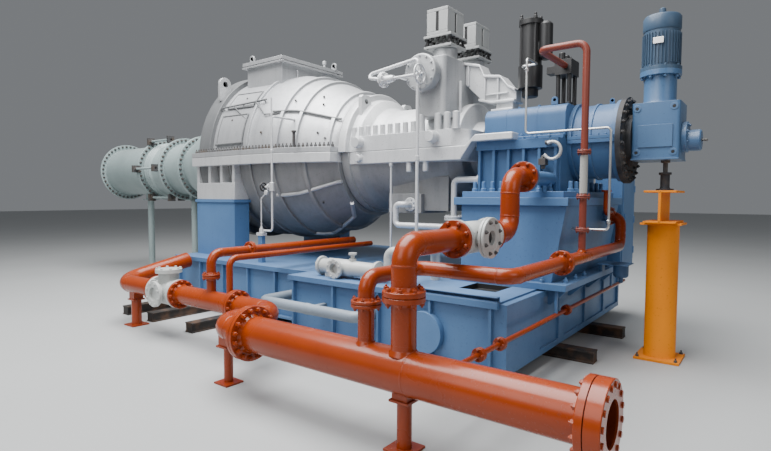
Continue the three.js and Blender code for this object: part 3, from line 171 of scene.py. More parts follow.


# Skid
# Box girders welded from plate, sprayed with steel-blue machine enamel. Its front carries a round
# blanking cover, and black sheets inside the two hatches in its deck paint the shade in them.

def enamel(name, colour, shade, roughness=0.32, dust=0.25, coat=0.35, peel=0.0004, wear=0.25, specular=0.5):
    """Sprayed enamel: a slow drift between two shades, thin run marks, dust where it faces up, a paler
    line where edges are worn, and the fine ripple of a sprayed coat."""
    finish = Finish(name, roughness, coat=coat, specular=specular)
    drift = finish.between(finish.noise(1.6, 5.0), 0.35, 0.7)
    runs = finish.between(finish.noise(9.0, 3.0, stretch=(1, 1, 9)), 0.5, 0.8)
    speck = finish.between(finish.noise(45.0, 6.0), 0.62, 0.72)
    settled = finish.upward() * finish.noise(6.0, 6.0) * dust
    painted = finish.mix(drift * 0.7 + runs * 0.3, colour, shade)
    soiled = finish.mix(speck * 0.35, painted, [0.45 * c for c in shade])
    dusty = finish.mix(settled, soiled, (0.5, 0.49, 0.46))
    pale = [0.5 * c + 0.35 for c in colour]
    finish.drive("Base Color", finish.mix(finish.edges(0.005) * wear, dusty, pale))
    finish.drive("Roughness", roughness + drift * 0.08 + settled * 0.6 + speck * 0.15)
    finish.relief(finish.noise(160.0, 2.0) + drift * 0.5, peel, rounding=0.003)
    return finish.material


SEMI_GLOSS = {"dust": 0.1, "coat": 0.1, "wear": 0.15, "specular": 0.3}
BLUE = enamel("steel_blue_enamel", (0.09, 0.188, 0.36), (0.066, 0.142, 0.285), 0.42, **SEMI_GLOSS)
# Black enamel; the same black also paints the shade inside the deck hatches, the spring housings' slots, the
# gear case's sockets and the riser valve's bore.
BLACK = enamel("black_and_painted_shade_enamel", (0.006, 0.006, 0.007), (0.011, 0.011, 0.012), 0.45, dust=0.05, coat=0.1,
               wear=0.05)
refinish(["skid_hood_frame", "skid_steam_frame"], BLUE)

RIGHT = (1, 0, 0)
LEFT = (-1, 0, 0)
REAR = (0, 1, 0)
FRONT = (0, -1, 0)
UP = (0, 0, 1)
DOWN = (0, 0, -1)
SIDES = (-1, 1)


def lathe(profile, origin, along=RIGHT, sides=48, sweep=2 * pi, start=0.0):
    """A profile of (distance, radius) pairs carried round an axis: origin + distance * axis + radius *
    (cos a * across + sin a * up). A profile that ends where it starts makes a ring, and any other is run
    in to the axis at both ends. A part turn is closed by its two flat profiles."""
    ring = np.allclose(profile[0], profile[-1])
    if not ring:
        profile = [(profile[0][0], 0), *profile, (profile[-1][0], 0)]
    axis = Vector(along).normalized()
    across = axis.orthogonal() if abs(axis.z) > 0.9 else Vector((-axis.y, axis.x, 0))
    across.normalize()
    up = np.array(axis.cross(across))
    distance, radius = np.array(profile, float).T
    full = sweep > 2 * pi - 1e-6
    steps = sides if full else sides + 1
    angle = start + np.arange(steps) * sweep / sides
    circle = np.cos(angle)[:, None] * np.array(across) + np.sin(angle)[:, None] * up
    points = np.array(origin) + distance[:, None, None] * np.array(axis) + radius[:, None, None] * circle
    kept = np.ones((len(profile), steps), bool)
    kept[radius == 0, 1:] = False
    kept[-1] &= not ring
    index = np.cumsum(kept).reshape(kept.shape) - 1
    if ring:
        index[-1] = index[0]
    left, right = (index, np.roll(index, -1, axis=1)) if full else (index[:, :-1], index[:, 1:])
    faces = []
    for row in range(len(profile) - 1):
        near = [left[row]] if radius[row] == 0 else [right[row], left[row]]
        far = [left[row + 1]] if radius[row + 1] == 0 else [left[row + 1], right[row + 1]]
        faces += np.stack(near + far, axis=-1).tolist()
    if not full:
        faces += [index[:, 0].tolist(), index[::-1, -1].tolist()]
    return points[kept], faces


def standing(x, y, profile, sides=48):
    """An upright turned body from (height, radius) pairs."""
    return lathe(profile, (x, y, 0), UP, sides)


def prism(outline, axis, low, high):
    """A flat outline carried straight along one axis, 0 for X, 1 for Y or 2 for Z. The outline's two
    numbers are the other two axes in order."""
    flat = np.array(outline, float)
    points = np.concatenate([np.insert(flat, axis, level, axis=1) for level in (low, high)])
    ring = np.arange(len(flat))
    after = np.roll(ring, -1)
    faces = np.stack([ring, after, after + len(flat), ring + len(flat)], axis=-1).tolist()
    return points, faces + [ring[::-1].tolist(), (ring + len(flat)).tolist()]


def brick(x, y, z):
    """A box from its three ranges. A y of one number reaches that far to each side of the shaft."""
    near, far = (-y, y) if np.isscalar(y) else y
    return prism([(x[0], near), (x[1], near), (x[1], far), (x[0], far)], 2, *z)


def block(x, y, half_x, half_y, low, high):
    """A box centred on (x, y)."""
    return brick((x - half_x, x + half_x), (y - half_y, y + half_y), (low, high))


def gather(parts):
    """Several shapes as one."""
    points, faces, count = [], [], 0
    for part_points, part_faces in parts:
        points.append(part_points)
        faces += [[i + count for i in face] for face in part_faces]
        count += len(part_points)
    return np.concatenate(points), faces


def repeat(shape, places, along=UP):
    """Copies a small shape made about +Z to each place, with its Z turned to point along."""
    points, faces = shape
    turned = points @ np.array(Vector(UP).rotation_difference(Vector(along)).to_matrix()).T
    return gather([(turned + place, faces) for place in np.array(places, float)])


CRISP = radians(35)


def build(name, parts, material, stands_for="", body="turbine", bevel=0.0):
    """Makes one piece from shapes and seats it on its body. Its faces are turned outwards, and edges
    sharper than CRISP stay sharp and are rounded off by bevel."""
    points, faces = gather(parts)
    mesh = bpy.data.meshes.new(name)
    mesh.from_pydata(points.tolist(), [], faces)
    solid = bmesh.new()
    solid.from_mesh(mesh)
    bmesh.ops.recalc_face_normals(solid, faces=solid.faces)
    solid.to_mesh(mesh)
    solid.free()
    mesh.shade_smooth()
    mesh.set_sharp_from_angle(angle=CRISP)
    mesh.materials.append(material)
    piece = bpy.data.objects.new(name, mesh)
    bpy.context.scene.collection.objects.link(piece)
    if bevel:
        rounding = piece.modifiers.new("rounded_edges", "BEVEL")
        rounding.width = bevel
        rounding.segments = 2
        rounding.limit_method = "ANGLE"
        rounding.angle_limit = CRISP
    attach(piece, body)
    if stands_for:
        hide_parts(stands_for)


cover_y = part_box("skid_steam_frame")[0].y + 0.06
build("skid_cover", [lathe([(0, 0.2), (0.07, 0.2)], (0.95, cover_y, 0.385), FRONT, 64)], BLUE,
      bevel=0.003)

PIT_X = (1.065, 1.46)
PIT_Y = (1.075, 1.47)
PIT_FLOOR = 0.6965
PIT_RIM = 0.752
SHEET = 0.003
STEP = 0.0005
# Black sheets just inside the walls and floor of each hatch in the deck: painted shade in the hollow.
pit_shade_linings = []
for side in SIDES:
    left, right = PIT_X
    near, far = sorted(side * y for y in PIT_Y)
    wall = (PIT_FLOOR + 2 * STEP, PIT_RIM)
    pit_shade_linings.append(brick((left + STEP, right - STEP), (near + STEP, far - STEP), (PIT_FLOOR, PIT_FLOOR + SHEET)))
    for x in (left + 2 * STEP, right - 2 * STEP - SHEET):
        pit_shade_linings.append(brick((x, x + SHEET), (near + 2 * STEP, far - 2 * STEP), wall))
    for y in (near + 3 * STEP, far - 3 * STEP - SHEET):
        inner = (wall[0], wall[1] - 2 * STEP)
        pit_shade_linings.append(brick((left + 4 * STEP, right - 4 * STEP), (y, y + SHEET), inner))
build("deck_pit_painted_shade", pit_shade_linings, BLACK)


# Exhaust hood
# A ribbed shell of welded plate, split at the shaft into two halves whose flanges are bolted together, in
# heat-proof aluminium paint. Its lower half stands on four ribs a side. Its front has two hatches, welded
# ledges, plugs and a rod on stays.

def aluminium_paint(name, colour, shade, grime, roughness, metallic, cast=0.0):
    """Brushed-on aluminium paint: cloudy in tone, streaked downwards, grimy where dust has settled, and
    over a rough casting where cast is set."""
    finish = Finish(name, roughness, metallic)
    cloud = finish.between(finish.noise(2.2, 7.0), 0.3, 0.72)
    streak = finish.between(finish.noise(14.0, 4.0, stretch=(1, 1, 7)), 0.48, 0.75)
    speck = finish.between(finish.noise(60.0, 5.0), 0.6, 0.72)
    settled = finish.upward(0.5) * finish.noise(5.0, 7.0) * 0.3
    painted = finish.mix(cloud * 0.65 + streak * 0.35, colour, shade)
    soiled = finish.mix(speck * 0.4 + settled, painted, grime)
    finish.drive("Base Color", finish.mix(finish.edges(0.006) * 0.3, soiled, (0.78, 0.79, 0.8)))
    finish.drive("Roughness", roughness + cloud * 0.1 + speck * 0.12 + settled * 0.5)
    finish.drive("Metallic", metallic - settled * 0.6 - speck * 0.2)
    height = finish.noise(150.0, 3.0) * (0.3 + cast)
    if cast:
        height = height + finish.noise(28.0, 5.0) * cast
    finish.relief(height, 0.0012 if cast else 0.0006, rounding=0.004)
    return finish.material


HOOD_SILVER = aluminium_paint("hood_aluminium_paint", (0.58, 0.59, 0.6), (0.38, 0.39, 0.41),
                              (0.1, 0.095, 0.09), 0.38, 0.6)
# A lighter copy of the hood's paint on its flanges and feet: painted light, so they read as bright as the
# top.
LIGHTER_FLANGE_PAINT = aluminium_paint("flange_painted_light_aluminium", (0.74, 0.75, 0.76), (0.54, 0.55, 0.56),
                                (0.12, 0.115, 0.11), 0.4, 0.5)
# A darker copy of the hood's paint on its lower shell: painted shade under the hood.
SHADED_SILVER = aluminium_paint("lower_painted_shade_aluminium", (0.25, 0.255, 0.26), (0.15, 0.155, 0.16),
                                (0.05, 0.048, 0.045), 0.5, 0.25)
# Dark grey for the band round the hood's ring and for the rods; on the beads round the hatches and along the
# upper ledge it paints their shadow lines.
RING_GREY = aluminium_paint("ring_and_shadow_line_grey", (0.17, 0.175, 0.18), (0.11, 0.115, 0.12), (0.06, 0.06, 0.055),
                            0.5, 0.3)
BOLT_STEEL = rolled_steel("bolt_steel", (0.085, 0.085, 0.088), (0.07, 0.055, 0.045))
SHAFT_Z = 2.235
hood_low, hood_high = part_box("exhaust_hood_upper")
HOOD_LEFT = hood_low.x
HOOD_RIGHT = hood_high.x
RING_RIGHT = HOOD_LEFT + 0.29
NARROWING = 0.06
HEIGHTENING = 0.09
RIB = 0.045
RIB_HEIGHT = 0.038
BARREL = {"upper": [(RING_RIGHT, 1.24), (-2.32, 1.24), (-1.92, 1.145), (-1.62, 1.05), (-1.17, 0.862)],
          "lower": [(RING_RIGHT, 1.155), (-2.32, 1.205), (-1.92, 1.165), (-1.62, 1.085), (-1.17, 0.862)]}
RIBS = {"upper": (-2.56, -1.99, -1.7, -1.24), "lower": (-2.97, -2.48, -2.02, -1.54)}
RING_RADIUS = {"upper": 1.307, "lower": 1.265}


def grown(x, half):
    """How far along its growth the hood is at x. The upper half grows narrower and taller towards its
    ring, by shares that rise evenly from its right end."""
    return (HOOD_RIGHT - x) / (HOOD_RIGHT - HOOD_LEFT) * (half == "upper")


def hood_part(half, profile, start, sweep=pi):
    """Part of a turn of a profile about the shaft, shaped as that half of the hood is."""
    points, faces = lathe(profile, (0, 0, 0), RIGHT, 96, sweep, start)
    points[:, 1] *= 1 - NARROWING * grown(points[:, 0], half)
    points[:, 2] *= 1 + HEIGHTENING * grown(points[:, 0], half)
    points[:, 2] += SHAFT_Z
    return points, faces


def hood_half(half, start):
    """Half a turn of the hood: the ring that carries the duct, the barrel, whose profile steps out round
    a square rib at each station, and the narrow right end."""
    distance, radius = np.array(BARREL[half]).T
    distance[0] += 0.001
    barrel = list(zip(distance, radius))
    for station in RIBS[half]:
        for offset, height in ((-0.5, 0), (-0.5, 1), (0.5, 1), (0.5, 0)):
            x = station + offset * RIB
            reach = np.interp(x, distance, radius) + height * RIB_HEIGHT
            barrel.append((x - offset * height * 1e-4, reach))
    ring = RING_RADIUS[half] - 0.005
    return hood_part(half, [(HOOD_LEFT + 0.003, ring), (RING_RIGHT, ring), *sorted(barrel),
                            (HOOD_RIGHT - 0.004, 0.86), (HOOD_RIGHT - 0.003, 0.85)], start)


def ring_band(half, start):
    """The darker grey band round half of the hood's ring."""
    radius = RING_RADIUS[half]
    return hood_part(half, [(HOOD_LEFT + 0.001, radius), (RING_RIGHT + 0.003, radius)], start)


def on_hood(half, path, lift=0.0):
    """Places on the front of the hood's shell from (x, angle over the joint in degrees), lifted off it."""
    x, angle = np.array(path, float).T
    reach = np.interp(x, *np.array(BARREL[half]).T) + lift
    y = -reach * np.cos(np.radians(angle)) * (1 - NARROWING * grown(x, half))
    z = SHAFT_Z + reach * np.sin(np.radians(angle)) * (1 + HEIGHTENING * grown(x, half))
    return np.stack([x, y, z], axis=-1)


def eye_plate(middle, base, width, height, hole):
    """The outline of a lifting eye: upright sides, a half-round top and a hole, which is walked the
    other way round and joined on by a slit."""
    crown = base + height - width / 2
    top = [(middle + width / 2 * cos(a), crown + width / 2 * sin(a)) for a in np.linspace(0, pi, 17)]
    return holed([(middle - width / 2, base), (middle + width / 2, base), *top], (middle, crown), hole)


def holed(outline, centre, radius):
    """An outline with a round hole in it."""
    turn = np.linspace(0, -2 * pi, 21)
    hole = [(centre[0] + radius * cos(a), centre[1] + radius * sin(a)) for a in turn]
    return [*outline, outline[0], *hole]


def mirrored(half):
    """A plan outline from its far half, read from left to right."""
    return [(x, -y) for x, y in half] + half[::-1]


FLANGE_BOTTOM = 2.105
FLANGE_TOP = 2.305
FLANGE_PLAN = mirrored([(HOOD_LEFT, 1.35), (-2.62, 1.33), (-1.82, 1.24), (HOOD_RIGHT, 1.01)])
COLUMN_X = (-3.71, -2.77)
COLUMN_Y = (1.01, 1.27)
COLUMN_TOP = 1.6
FOOT_BLOCK_TOP = 1.85
FOOT_RIB = 0.06
upper = [hood_half("upper", 0.0), prism(FLANGE_PLAN, 2, SHAFT_Z + 0.002, FLANGE_TOP)]
lower = [prism(FLANGE_PLAN, 2, FLANGE_BOTTOM, SHAFT_Z - 0.002)]
for side in SIDES:
    upper.append(prism(eye_plate(side * 0.875, 3.15, 0.21, 0.37, 0.045), 0, -3.545, -3.495))
    near, far = sorted(side * y for y in COLUMN_Y)
    lower.append(brick(COLUMN_X, (near, far), (COLUMN_TOP, FOOT_BLOCK_TOP)))
    for x in np.linspace(COLUMN_X[0], COLUMN_X[1] - FOOT_RIB, 4):
        lower.append(brick((x + 0.002, x + FOOT_RIB - 0.002), (near + 0.002, far - 0.002),
                           (FOOT_BLOCK_TOP - 0.01, FLANGE_BOTTOM + 0.01)))
build("hood_upper_half", upper, HOOD_SILVER, "exhaust_hood_upper", bevel=0.006)
build("hood_lower_half", [hood_half("lower", pi)], SHADED_SILVER, "exhaust_hood_lower", bevel=0.006)
build("hood_flange_and_feet", lower, LIGHTER_FLANGE_PAINT, bevel=0.006)
build("hood_ring_bands", [ring_band("upper", 0.0), ring_band("lower", pi)], RING_GREY, bevel=0.004)


def hex_bolt(across_flats, height, stud=0.0):
    """A nut or bolt head about +Z, a six-sided ring on a washer, with the end of its stud on top."""
    half = across_flats / 2 / cos(pi / 6)
    parts = [standing(0, 0, [(0, half * 1.1), (height * 0.12, half * 1.1)], 10),
             standing(0, 0, [(height * 0.1, half), (height * 0.85, half), (height, half * 0.8)], 6)]
    if stud:
        parts.append(standing(0, 0, [(height * 0.9, half * 0.5), (height + stud, half * 0.45)], 6))
    return gather(parts)


def along_edge(plan, inset, spacing):
    """Places spaced evenly along an open outline, set in from it towards the shaft."""
    run = np.array(plan, float)
    walked = np.concatenate([[0], np.cumsum(np.linalg.norm(np.diff(run, axis=0), axis=1))])
    stations = np.arange(spacing / 2, walked[-1], spacing)
    x, y = (np.interp(stations, walked, column) for column in run.T)
    return np.stack([x, y - np.sign(y) * inset, np.full_like(x, FLANGE_TOP)], axis=-1)


joint_bolts = np.concatenate([along_edge(edge, 0.06, 0.062) for edge in (FLANGE_PLAN[:4], FLANGE_PLAN[4:])])
build("hood_joint_bolts", [repeat(hex_bolt(0.034, 0.036, stud=0.026), joint_bolts)], BOLT_STEEL)


def pipe_route(corners, bend):
    """Stations and directions along a route of straights joined by round bends of one radius. Round a
    bend: start + bend * (sin a * into + (1 - cos a) * inward)."""
    corners = np.array(corners, float)
    way = np.diff(corners, axis=0)
    way /= np.linalg.norm(way, axis=1)[:, None]
    places, headings = [corners[:1]], [way[:1]]
    for corner, into, out in zip(corners[1:-1], way[:-1], way[1:]):
        whole = np.arccos(np.clip(into @ out, -1, 1))
        if whole < 1e-3:
            places.append(corner[None])
            headings.append(out[None])
            continue
        inward = out - into * (into @ out)
        inward /= np.linalg.norm(inward)
        a = np.linspace(0, whole, 11)[:, None]
        start = corner - into * bend * np.tan(whole / 2)
        places.append(start + bend * (np.sin(a) * into + (1 - np.cos(a)) * inward))
        headings.append(np.cos(a) * into + np.sin(a) * inward)
    return np.concatenate([*places, corners[-1:]]), np.concatenate([*headings, way[-1:]])


def piping(corners, radius, bend=0.1, sides=32):
    """A round pipe along a route. Each section lies at station + radius * (cos a * u + sin a * v), with
    u kept square to the heading and as close to the last section's as it can be."""
    places, headings = pipe_route(corners, bend)
    u = np.array(Vector(headings[0]).orthogonal().normalized())
    frames = []
    for heading in headings:
        u = u - heading * (u @ heading)
        u /= np.linalg.norm(u)
        frames.append((u, np.cross(heading, u)))
    frames = np.array(frames)
    angle = np.arange(sides) * 2 * pi / sides
    ring = np.cos(angle)[:, None] * frames[:, None, 0] + np.sin(angle)[:, None] * frames[:, None, 1]
    points = (places[:, None] + radius * ring).reshape(-1, 3)
    index = np.arange(len(points)).reshape(len(places), sides)
    after = np.roll(index, -1, axis=1)
    faces = np.stack([index[:-1], after[:-1], after[1:], index[1:]], axis=-1).reshape(-1, 4).tolist()
    return points, [*faces, index[0, ::-1].tolist(), index[-1].tolist()]


def bead(half, path, radius, lift):
    """A thin round bar laid along the hood's shell through (x, angle) corners, in short straight steps."""
    corner = np.array(path, float)
    step = np.linspace(0, len(corner) - 1, 8 * (len(corner) - 1) + 1)
    walk = np.stack([np.interp(step, np.arange(len(corner)), column) for column in corner.T], axis=-1)
    return piping(on_hood(half, walk, lift), radius, 0.002, 10)


# The dark grey beads round the two hatches and along the upper ledge paint the shadow lines at those edges.
hatches = []
weld_beads_and_shadow_lines = [bead("upper", [(-3.33, 8.3), (-2.67, 8.3)], 0.018, 0.018),
         bead("upper", [(-2.16, 28.5), (-1.78, 31.0), (-1.13, 30.5)], 0.016, 0.024)]
for (left, right), (low, high) in (((-3.31, -2.69), (9.0, 28.0)), ((-3.28, -2.66), (34.0, 48.0))):
    ends = [(x, np.interp(x, *np.array(BARREL["upper"]).T) + 0.014) for x in (left, right)]
    hatches.append(hood_part("upper", ends, radians(180 - high), radians(high - low)))
    frame_line = [(left, low), (left, high), (right, high), (right, low), (left, low)]
    weld_beads_and_shadow_lines.append(bead("upper", frame_line, 0.011, 0.014))
build("hood_hatches", hatches, HOOD_SILVER, bevel=0.003)
build("hood_ledges", [
    bead("lower", [(-2.09, -28.5), (-1.72, -29.0), (-1.11, -26.0)], 0.026, 0.01),
    bead("lower", [(-2.04, -72.0), (-1.8, -80.0), (-1.27, -69.0), (-1.12, -50.0)], 0.03, 0.012),
], HOOD_SILVER)
build("hood_weld_beads_and_shadow_lines", weld_beads_and_shadow_lines, RING_GREY)

PLUGS = {"upper": [(-1.55, 50), (-1.48, 42), (-1.41, 16), (-3.04, 24.5), (-2.93, 42), (-1.9, 40), (-1.3, 12),
                   (-2.28, 14)], "lower": [(-1.46, -41), (-2.3, -22)]}
plugs = [standing(-1.555, -1.225, [(2.303, 0.02), (2.493, 0.02), (2.493, 0.032), (2.515, 0.032)], 24)]
for half, spots in PLUGS.items():
    for place, (_, angle) in zip(on_hood(half, spots, 0.01), spots):
        outward = (0, -cos(radians(angle)), sin(radians(angle)))
        plugs.append(repeat(hex_bolt(0.026, 0.016), [place], outward))
build("hood_plugs", plugs, BOLT_STEEL)

left, right = on_hood("upper", [(-3.42, 34), (-2.37, 37)], 0.045)
rods = [piping([left, right], 0.013, sides=14)]
low_end, foot = on_hood("upper", [(-2.29, 26), (-2.08, 28)], [0.03, 0.006])
stays = [(left * 0.72 + right * 0.28, on_hood("upper", [(-2.7, 24)], 0.004)[0]),
         (left * 0.22 + right * 0.78, low_end), (low_end, foot)]
for place in ((-3.38, 34.1), (-2.9, 35.5), (-2.42, 36.9)):
    stays.append(on_hood("upper", [place, place], [0.045, -0.02]))
build("hood_rods", rods + [piping(stay, 0.01, sides=12) for stay in stays], RING_GREY)


# Exhaust duct
# Rolled and welded pipe in flanged lengths: a cone off the hood, a spool, a bellows held by tie
# rods and an open end length, standing on tube posts. Painted pale grey-green.

DUCT_GREY = enamel("duct_grey_paint", (0.29, 0.36, 0.36), (0.22, 0.28, 0.28), 0.4, dust=0.2, coat=0.15)
DUCT_Z = 2.19
DUCT_RADIUS = 0.51
DUCT_RIM = 0.615
DUCT_FLANGE = 0.03
DUCT_LINE = (0, 0, DUCT_Z)
CONE_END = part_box("exhaust_cone")[0].x
SPOOL_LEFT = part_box("exhaust_spool")[0].x
BELLOWS_LEFT = -6.82
DUCT_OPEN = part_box("exhaust_duct_end")[0].x


def flanged(left, right, middle=()):
    """The profile of a pipe length with a flange at each end and what middle gives between them."""
    return [(left, DUCT_RADIUS - 0.012), (left, DUCT_RIM), (left + DUCT_FLANGE, DUCT_RIM),
            (left + DUCT_FLANGE, DUCT_RADIUS), *middle, (right - DUCT_FLANGE, DUCT_RADIUS),
            (right - DUCT_FLANGE, DUCT_RIM), (right, DUCT_RIM), (right, DUCT_RADIUS - 0.012)]


def duct_post(x):
    """A post's foot plate, tube, top plate and saddle, whose top follows the duct's round underside."""
    top = DUCT_Z - DUCT_RADIUS - 0.12
    across = np.linspace(-0.09, 0.09, 9)
    outline = [(0.09, top), (-0.09, top)] + [(a, DUCT_Z - np.sqrt(DUCT_RADIUS ** 2 - a ** 2)) for a in across]
    return [block(x, 0, 0.15, 0.15, 0, 0.02), standing(x, 0, [(0.001, 0.065), (top + 0.001, 0.065)], 40),
            block(x, 0, 0.075, 0.15, top, top + 0.02), prism(outline, 0, x - 0.035, x + 0.035)]


def circle_of(count, radius, start=0.0):
    """Evenly spaced points on a circle, as an array of (cos, sin) pairs times the radius."""
    angle = start + np.arange(count) * 2 * pi / count
    return np.stack([np.cos(angle), np.sin(angle)], axis=-1) * radius


def bolts_on_disc(centre, along, count, radius, bolt):
    """Bolts in a circle on a round face: centre + radius * (cos a * across + sin a * up)."""
    axis = Vector(along).normalized()
    across = axis.orthogonal().normalized()
    ring = circle_of(count, radius, pi / count)
    places = np.array(centre) + ring[:, :1] * np.array(across) + ring[:, 1:] * np.array(axis.cross(across))
    return repeat(bolt, places, along)


cone = [(CONE_END, DUCT_RIM), (CONE_END + DUCT_FLANGE, DUCT_RIM), (CONE_END + DUCT_FLANGE, DUCT_RADIUS),
        (CONE_END + 0.08, DUCT_RADIUS), (HOOD_LEFT - 0.06, 1.15), (HOOD_LEFT, 1.15)]
build("duct_cone", [lathe(cone, DUCT_LINE, sides=96)], DUCT_GREY, "exhaust_cone", bevel=0.004)
build("duct_spool", [lathe(flanged(SPOOL_LEFT, CONE_END), DUCT_LINE, sides=96), *duct_post(-5.77)], DUCT_GREY,
      "exhaust_spool", bevel=0.004)

# The bellows' waves: radius = pipe + 43 mm * sine squared, three times over.
turns = np.linspace(0, 3 * pi, 37)
waves = [(-6.7 + 0.08 * turn / pi, DUCT_RADIUS + 0.002 + 0.043 * sin(turn) ** 2) for turn in turns]
rod_ends = (BELLOWS_LEFT - 0.1, SPOOL_LEFT - 0.005)
bellows = [lathe(flanged(BELLOWS_LEFT, SPOOL_LEFT, waves), DUCT_LINE, sides=96)]
lugs = []
for y, up in circle_of(6, DUCT_RIM + 0.045):
    z = DUCT_Z + up
    bellows.append(lathe([(x, 0.022) for x in rod_ends], (0, y, z), sides=20))
    for x in (BELLOWS_LEFT + 0.03, SPOOL_LEFT - 0.03):
        lugs.append(block(x, y, 0.025, 0.07, z - 0.07, z + 0.07))
    for x, along in ((BELLOWS_LEFT + 0.055, RIGHT), (BELLOWS_LEFT - 0.032, LEFT), (SPOOL_LEFT - 0.055, LEFT)):
        lugs.append(repeat(hex_bolt(0.07, 0.035), [(x, y, z)], along))
build("duct_bellows", bellows, DUCT_GREY, "exhaust_bellows", bevel=0.003)
build("bellows_lugs", lugs, BOLT_STEEL, bevel=0.003)

end_length = flanged(DUCT_OPEN, BELLOWS_LEFT)
build("duct_end", [lathe(end_length + end_length[:1], DUCT_LINE, sides=96), *duct_post(-7.44)], DUCT_GREY,
      "exhaust_duct_end", bevel=0.003)
joints =[(DUCT_OPEN, 1)] + [(x, side) for x in (CONE_END, SPOOL_LEFT, BELLOWS_LEFT) for side in SIDES]
build("duct_bolts", [bolts_on_disc((x + side * DUCT_FLANGE, 0, DUCT_Z), (side, 0, 0), 40, 0.575,
                                   hex_bolt(0.036, 0.032, stud=0.022)) for x, side in joints],
      BOLT_STEEL)


# Relief box
# A welded box over the opening in the hood's crown, shut by a lid that lifts if the exhaust pressure
# rises too far. The lid overhangs all round and has two lifting eyes and a guide pin.

BOX_X = (-3.27, -2.46)
BOX_HALF = 0.62
BOX_TOP = 3.69
LID_TOP = 3.75
OVERHANG = 0.06
lid_x = np.array(BOX_X) + (-OVERHANG, OVERHANG)
lid_half = BOX_HALF + OVERHANG
box_side = BOX_X[1]
relief = [
    brick(BOX_X, BOX_HALF, (3.29, BOX_TOP + 0.01)),
    brick(lid_x, lid_half, (BOX_TOP - 0.03, BOX_TOP - 0.006)),
    brick(lid_x + (0.006, -0.006), lid_half - 0.006, (BOX_TOP + 0.008, LID_TOP)),
    standing(-2.44, 0.27, [(LID_TOP - 0.002, 0.02), (3.8, 0.02), (3.801, 0.034), (3.85, 0.034)], 24),
    prism([(box_side - 0.002, 3.3), (box_side + 0.055, 3.3), (box_side - 0.002, 3.44)], 1, -0.5, -0.47),
    piping([(box_side, -0.33, 3.6), (box_side + 0.03, -0.33, 3.58), (box_side + 0.03, -0.33, 3.43),
            (box_side + 0.03, -0.28, 3.385)], 0.009, 0.02, 12),
]
for x, y in ((-3.17, -0.6), (-2.44, 0.5)):
    relief.append(prism(eye_plate(x, LID_TOP - 0.002, 0.1, 0.12, 0.026), 1, y - 0.015, y + 0.015))
build("relief_box_shell", relief, HOOD_SILVER, "relief_box", bevel=0.004)


# High pressure casing
# Two thick steel castings joined along the shaft's height by long studs under tall cap nuts, in
# aluminium paint. The lower one hangs from the bearing housing by a paw on each side.

CAST_SILVER = aluminium_paint("cast_aluminium_paint", (0.74, 0.75, 0.76), (0.54, 0.55, 0.56),
                              (0.1, 0.095, 0.09), 0.46, 0.5, 0.8)
# A darker copy of the cast paint on the lower casing's bowl: painted shade under the casing.
CAST_SHADED = aluminium_paint("lower_painted_shade_cast", (0.28, 0.285, 0.29), (0.18, 0.185, 0.19),
                              (0.06, 0.055, 0.05), 0.5, 0.25, 0.8)
CASING_LEFT = -1.11
CASING_RING_RIGHT = -0.98
CASING_HALF = 0.77
CASING_TOP = 2.43
CASING_BOTTOM = 2.075
HOUSING_LEFT = 0.82
HOUSING_JOINT_Z = 2.27


def rounded(outline, radius, closed=True, steps=5):
    """Rounds each corner of an outline by a curve that starts and ends at most radius from it:
    (1 - t) squared * start + 2 t (1 - t) * corner + t squared * end."""
    corners = np.array(outline, float)
    t = np.linspace(0, 1, steps)[:, None]
    curves = []
    for i, corner in enumerate(corners):
        if not closed and i in (0, len(corners) - 1):
            curves.append(corner[None])
            continue
        into = corners[i - 1] - corner
        out = corners[(i + 1) % len(corners)] - corner
        start = corner + into * min(0.5, radius / np.linalg.norm(into))
        end = corner + out * min(0.5, radius / np.linalg.norm(out))
        curves.append((1 - t) ** 2 * start + 2 * t * (1 - t) * corner + t ** 2 * end)
    return np.concatenate(curves)


def bowl(ring, radii, start):
    """Half a turn of a casing's bowl: its ring, then the given radii, then the neck at the right end."""
    profile = [(CASING_LEFT, 0), (CASING_LEFT, ring), (CASING_RING_RIGHT, ring), *radii, (0.56, 0.35),
               (0.72, 0.35), (0.72, 0.24), (HOUSING_LEFT, 0.24), (HOUSING_LEFT, 0)]
    return lathe(rounded(profile, 0.018, closed=False)[1:-1], (0, 0, SHAFT_Z), RIGHT, 96, pi, start)


def cap_nut(radius, height):
    """A tall round cap nut on a washer, with a chamfered top and the dimple of its stud's bore."""
    return standing(0, 0, [(0, radius * 1.25), (0.006, radius * 1.25), (0.006, radius),
                           (height - 0.008, radius), (height, radius - 0.008), (height, radius * 0.4),
                           (height - 0.012, radius * 0.34)], 28)


def round_plug(centre, radius, length):
    """A round boss on the front, with a softly domed face."""
    return lathe([(0, radius), (length * 0.75, radius), (length, radius * 0.86)], centre, FRONT, 40)


casing_plan = rounded(mirrored([(CASING_RING_RIGHT, CASING_HALF), (0.56, CASING_HALF),
                                (0.72, CASING_HALF - 0.16)]), 0.05)
upper = [bowl(0.865, [(-0.98, 0.78), (-0.86, 0.765), (-0.77, 0.65), (-0.67, 0.605), (0.53, 0.585)], 0.0),
         prism(casing_plan, 2, SHAFT_Z + 0.002, CASING_TOP),
         round_plug((-0.812, -0.74, 2.352), 0.074, 0.125), round_plug((0.325, -0.74, 2.35), 0.07, 0.15),
         standing(0.46, -0.4, [(CASING_TOP - 0.002, 0.018), (3.04, 0.018)], 24)]
lower_radii = [(-0.98, 0.77), (-0.86, 0.76), (-0.77, 0.7), (-0.42, 0.685), (0.38, 0.6), (0.53, 0.5)]
lower = [bowl(0.8, lower_radii, pi),
         brick((-0.46, 0.38), 0.52, (1.48, 1.9)), brick((-0.457, 0.04), (-0.6, 0), (1.449, 1.691))]
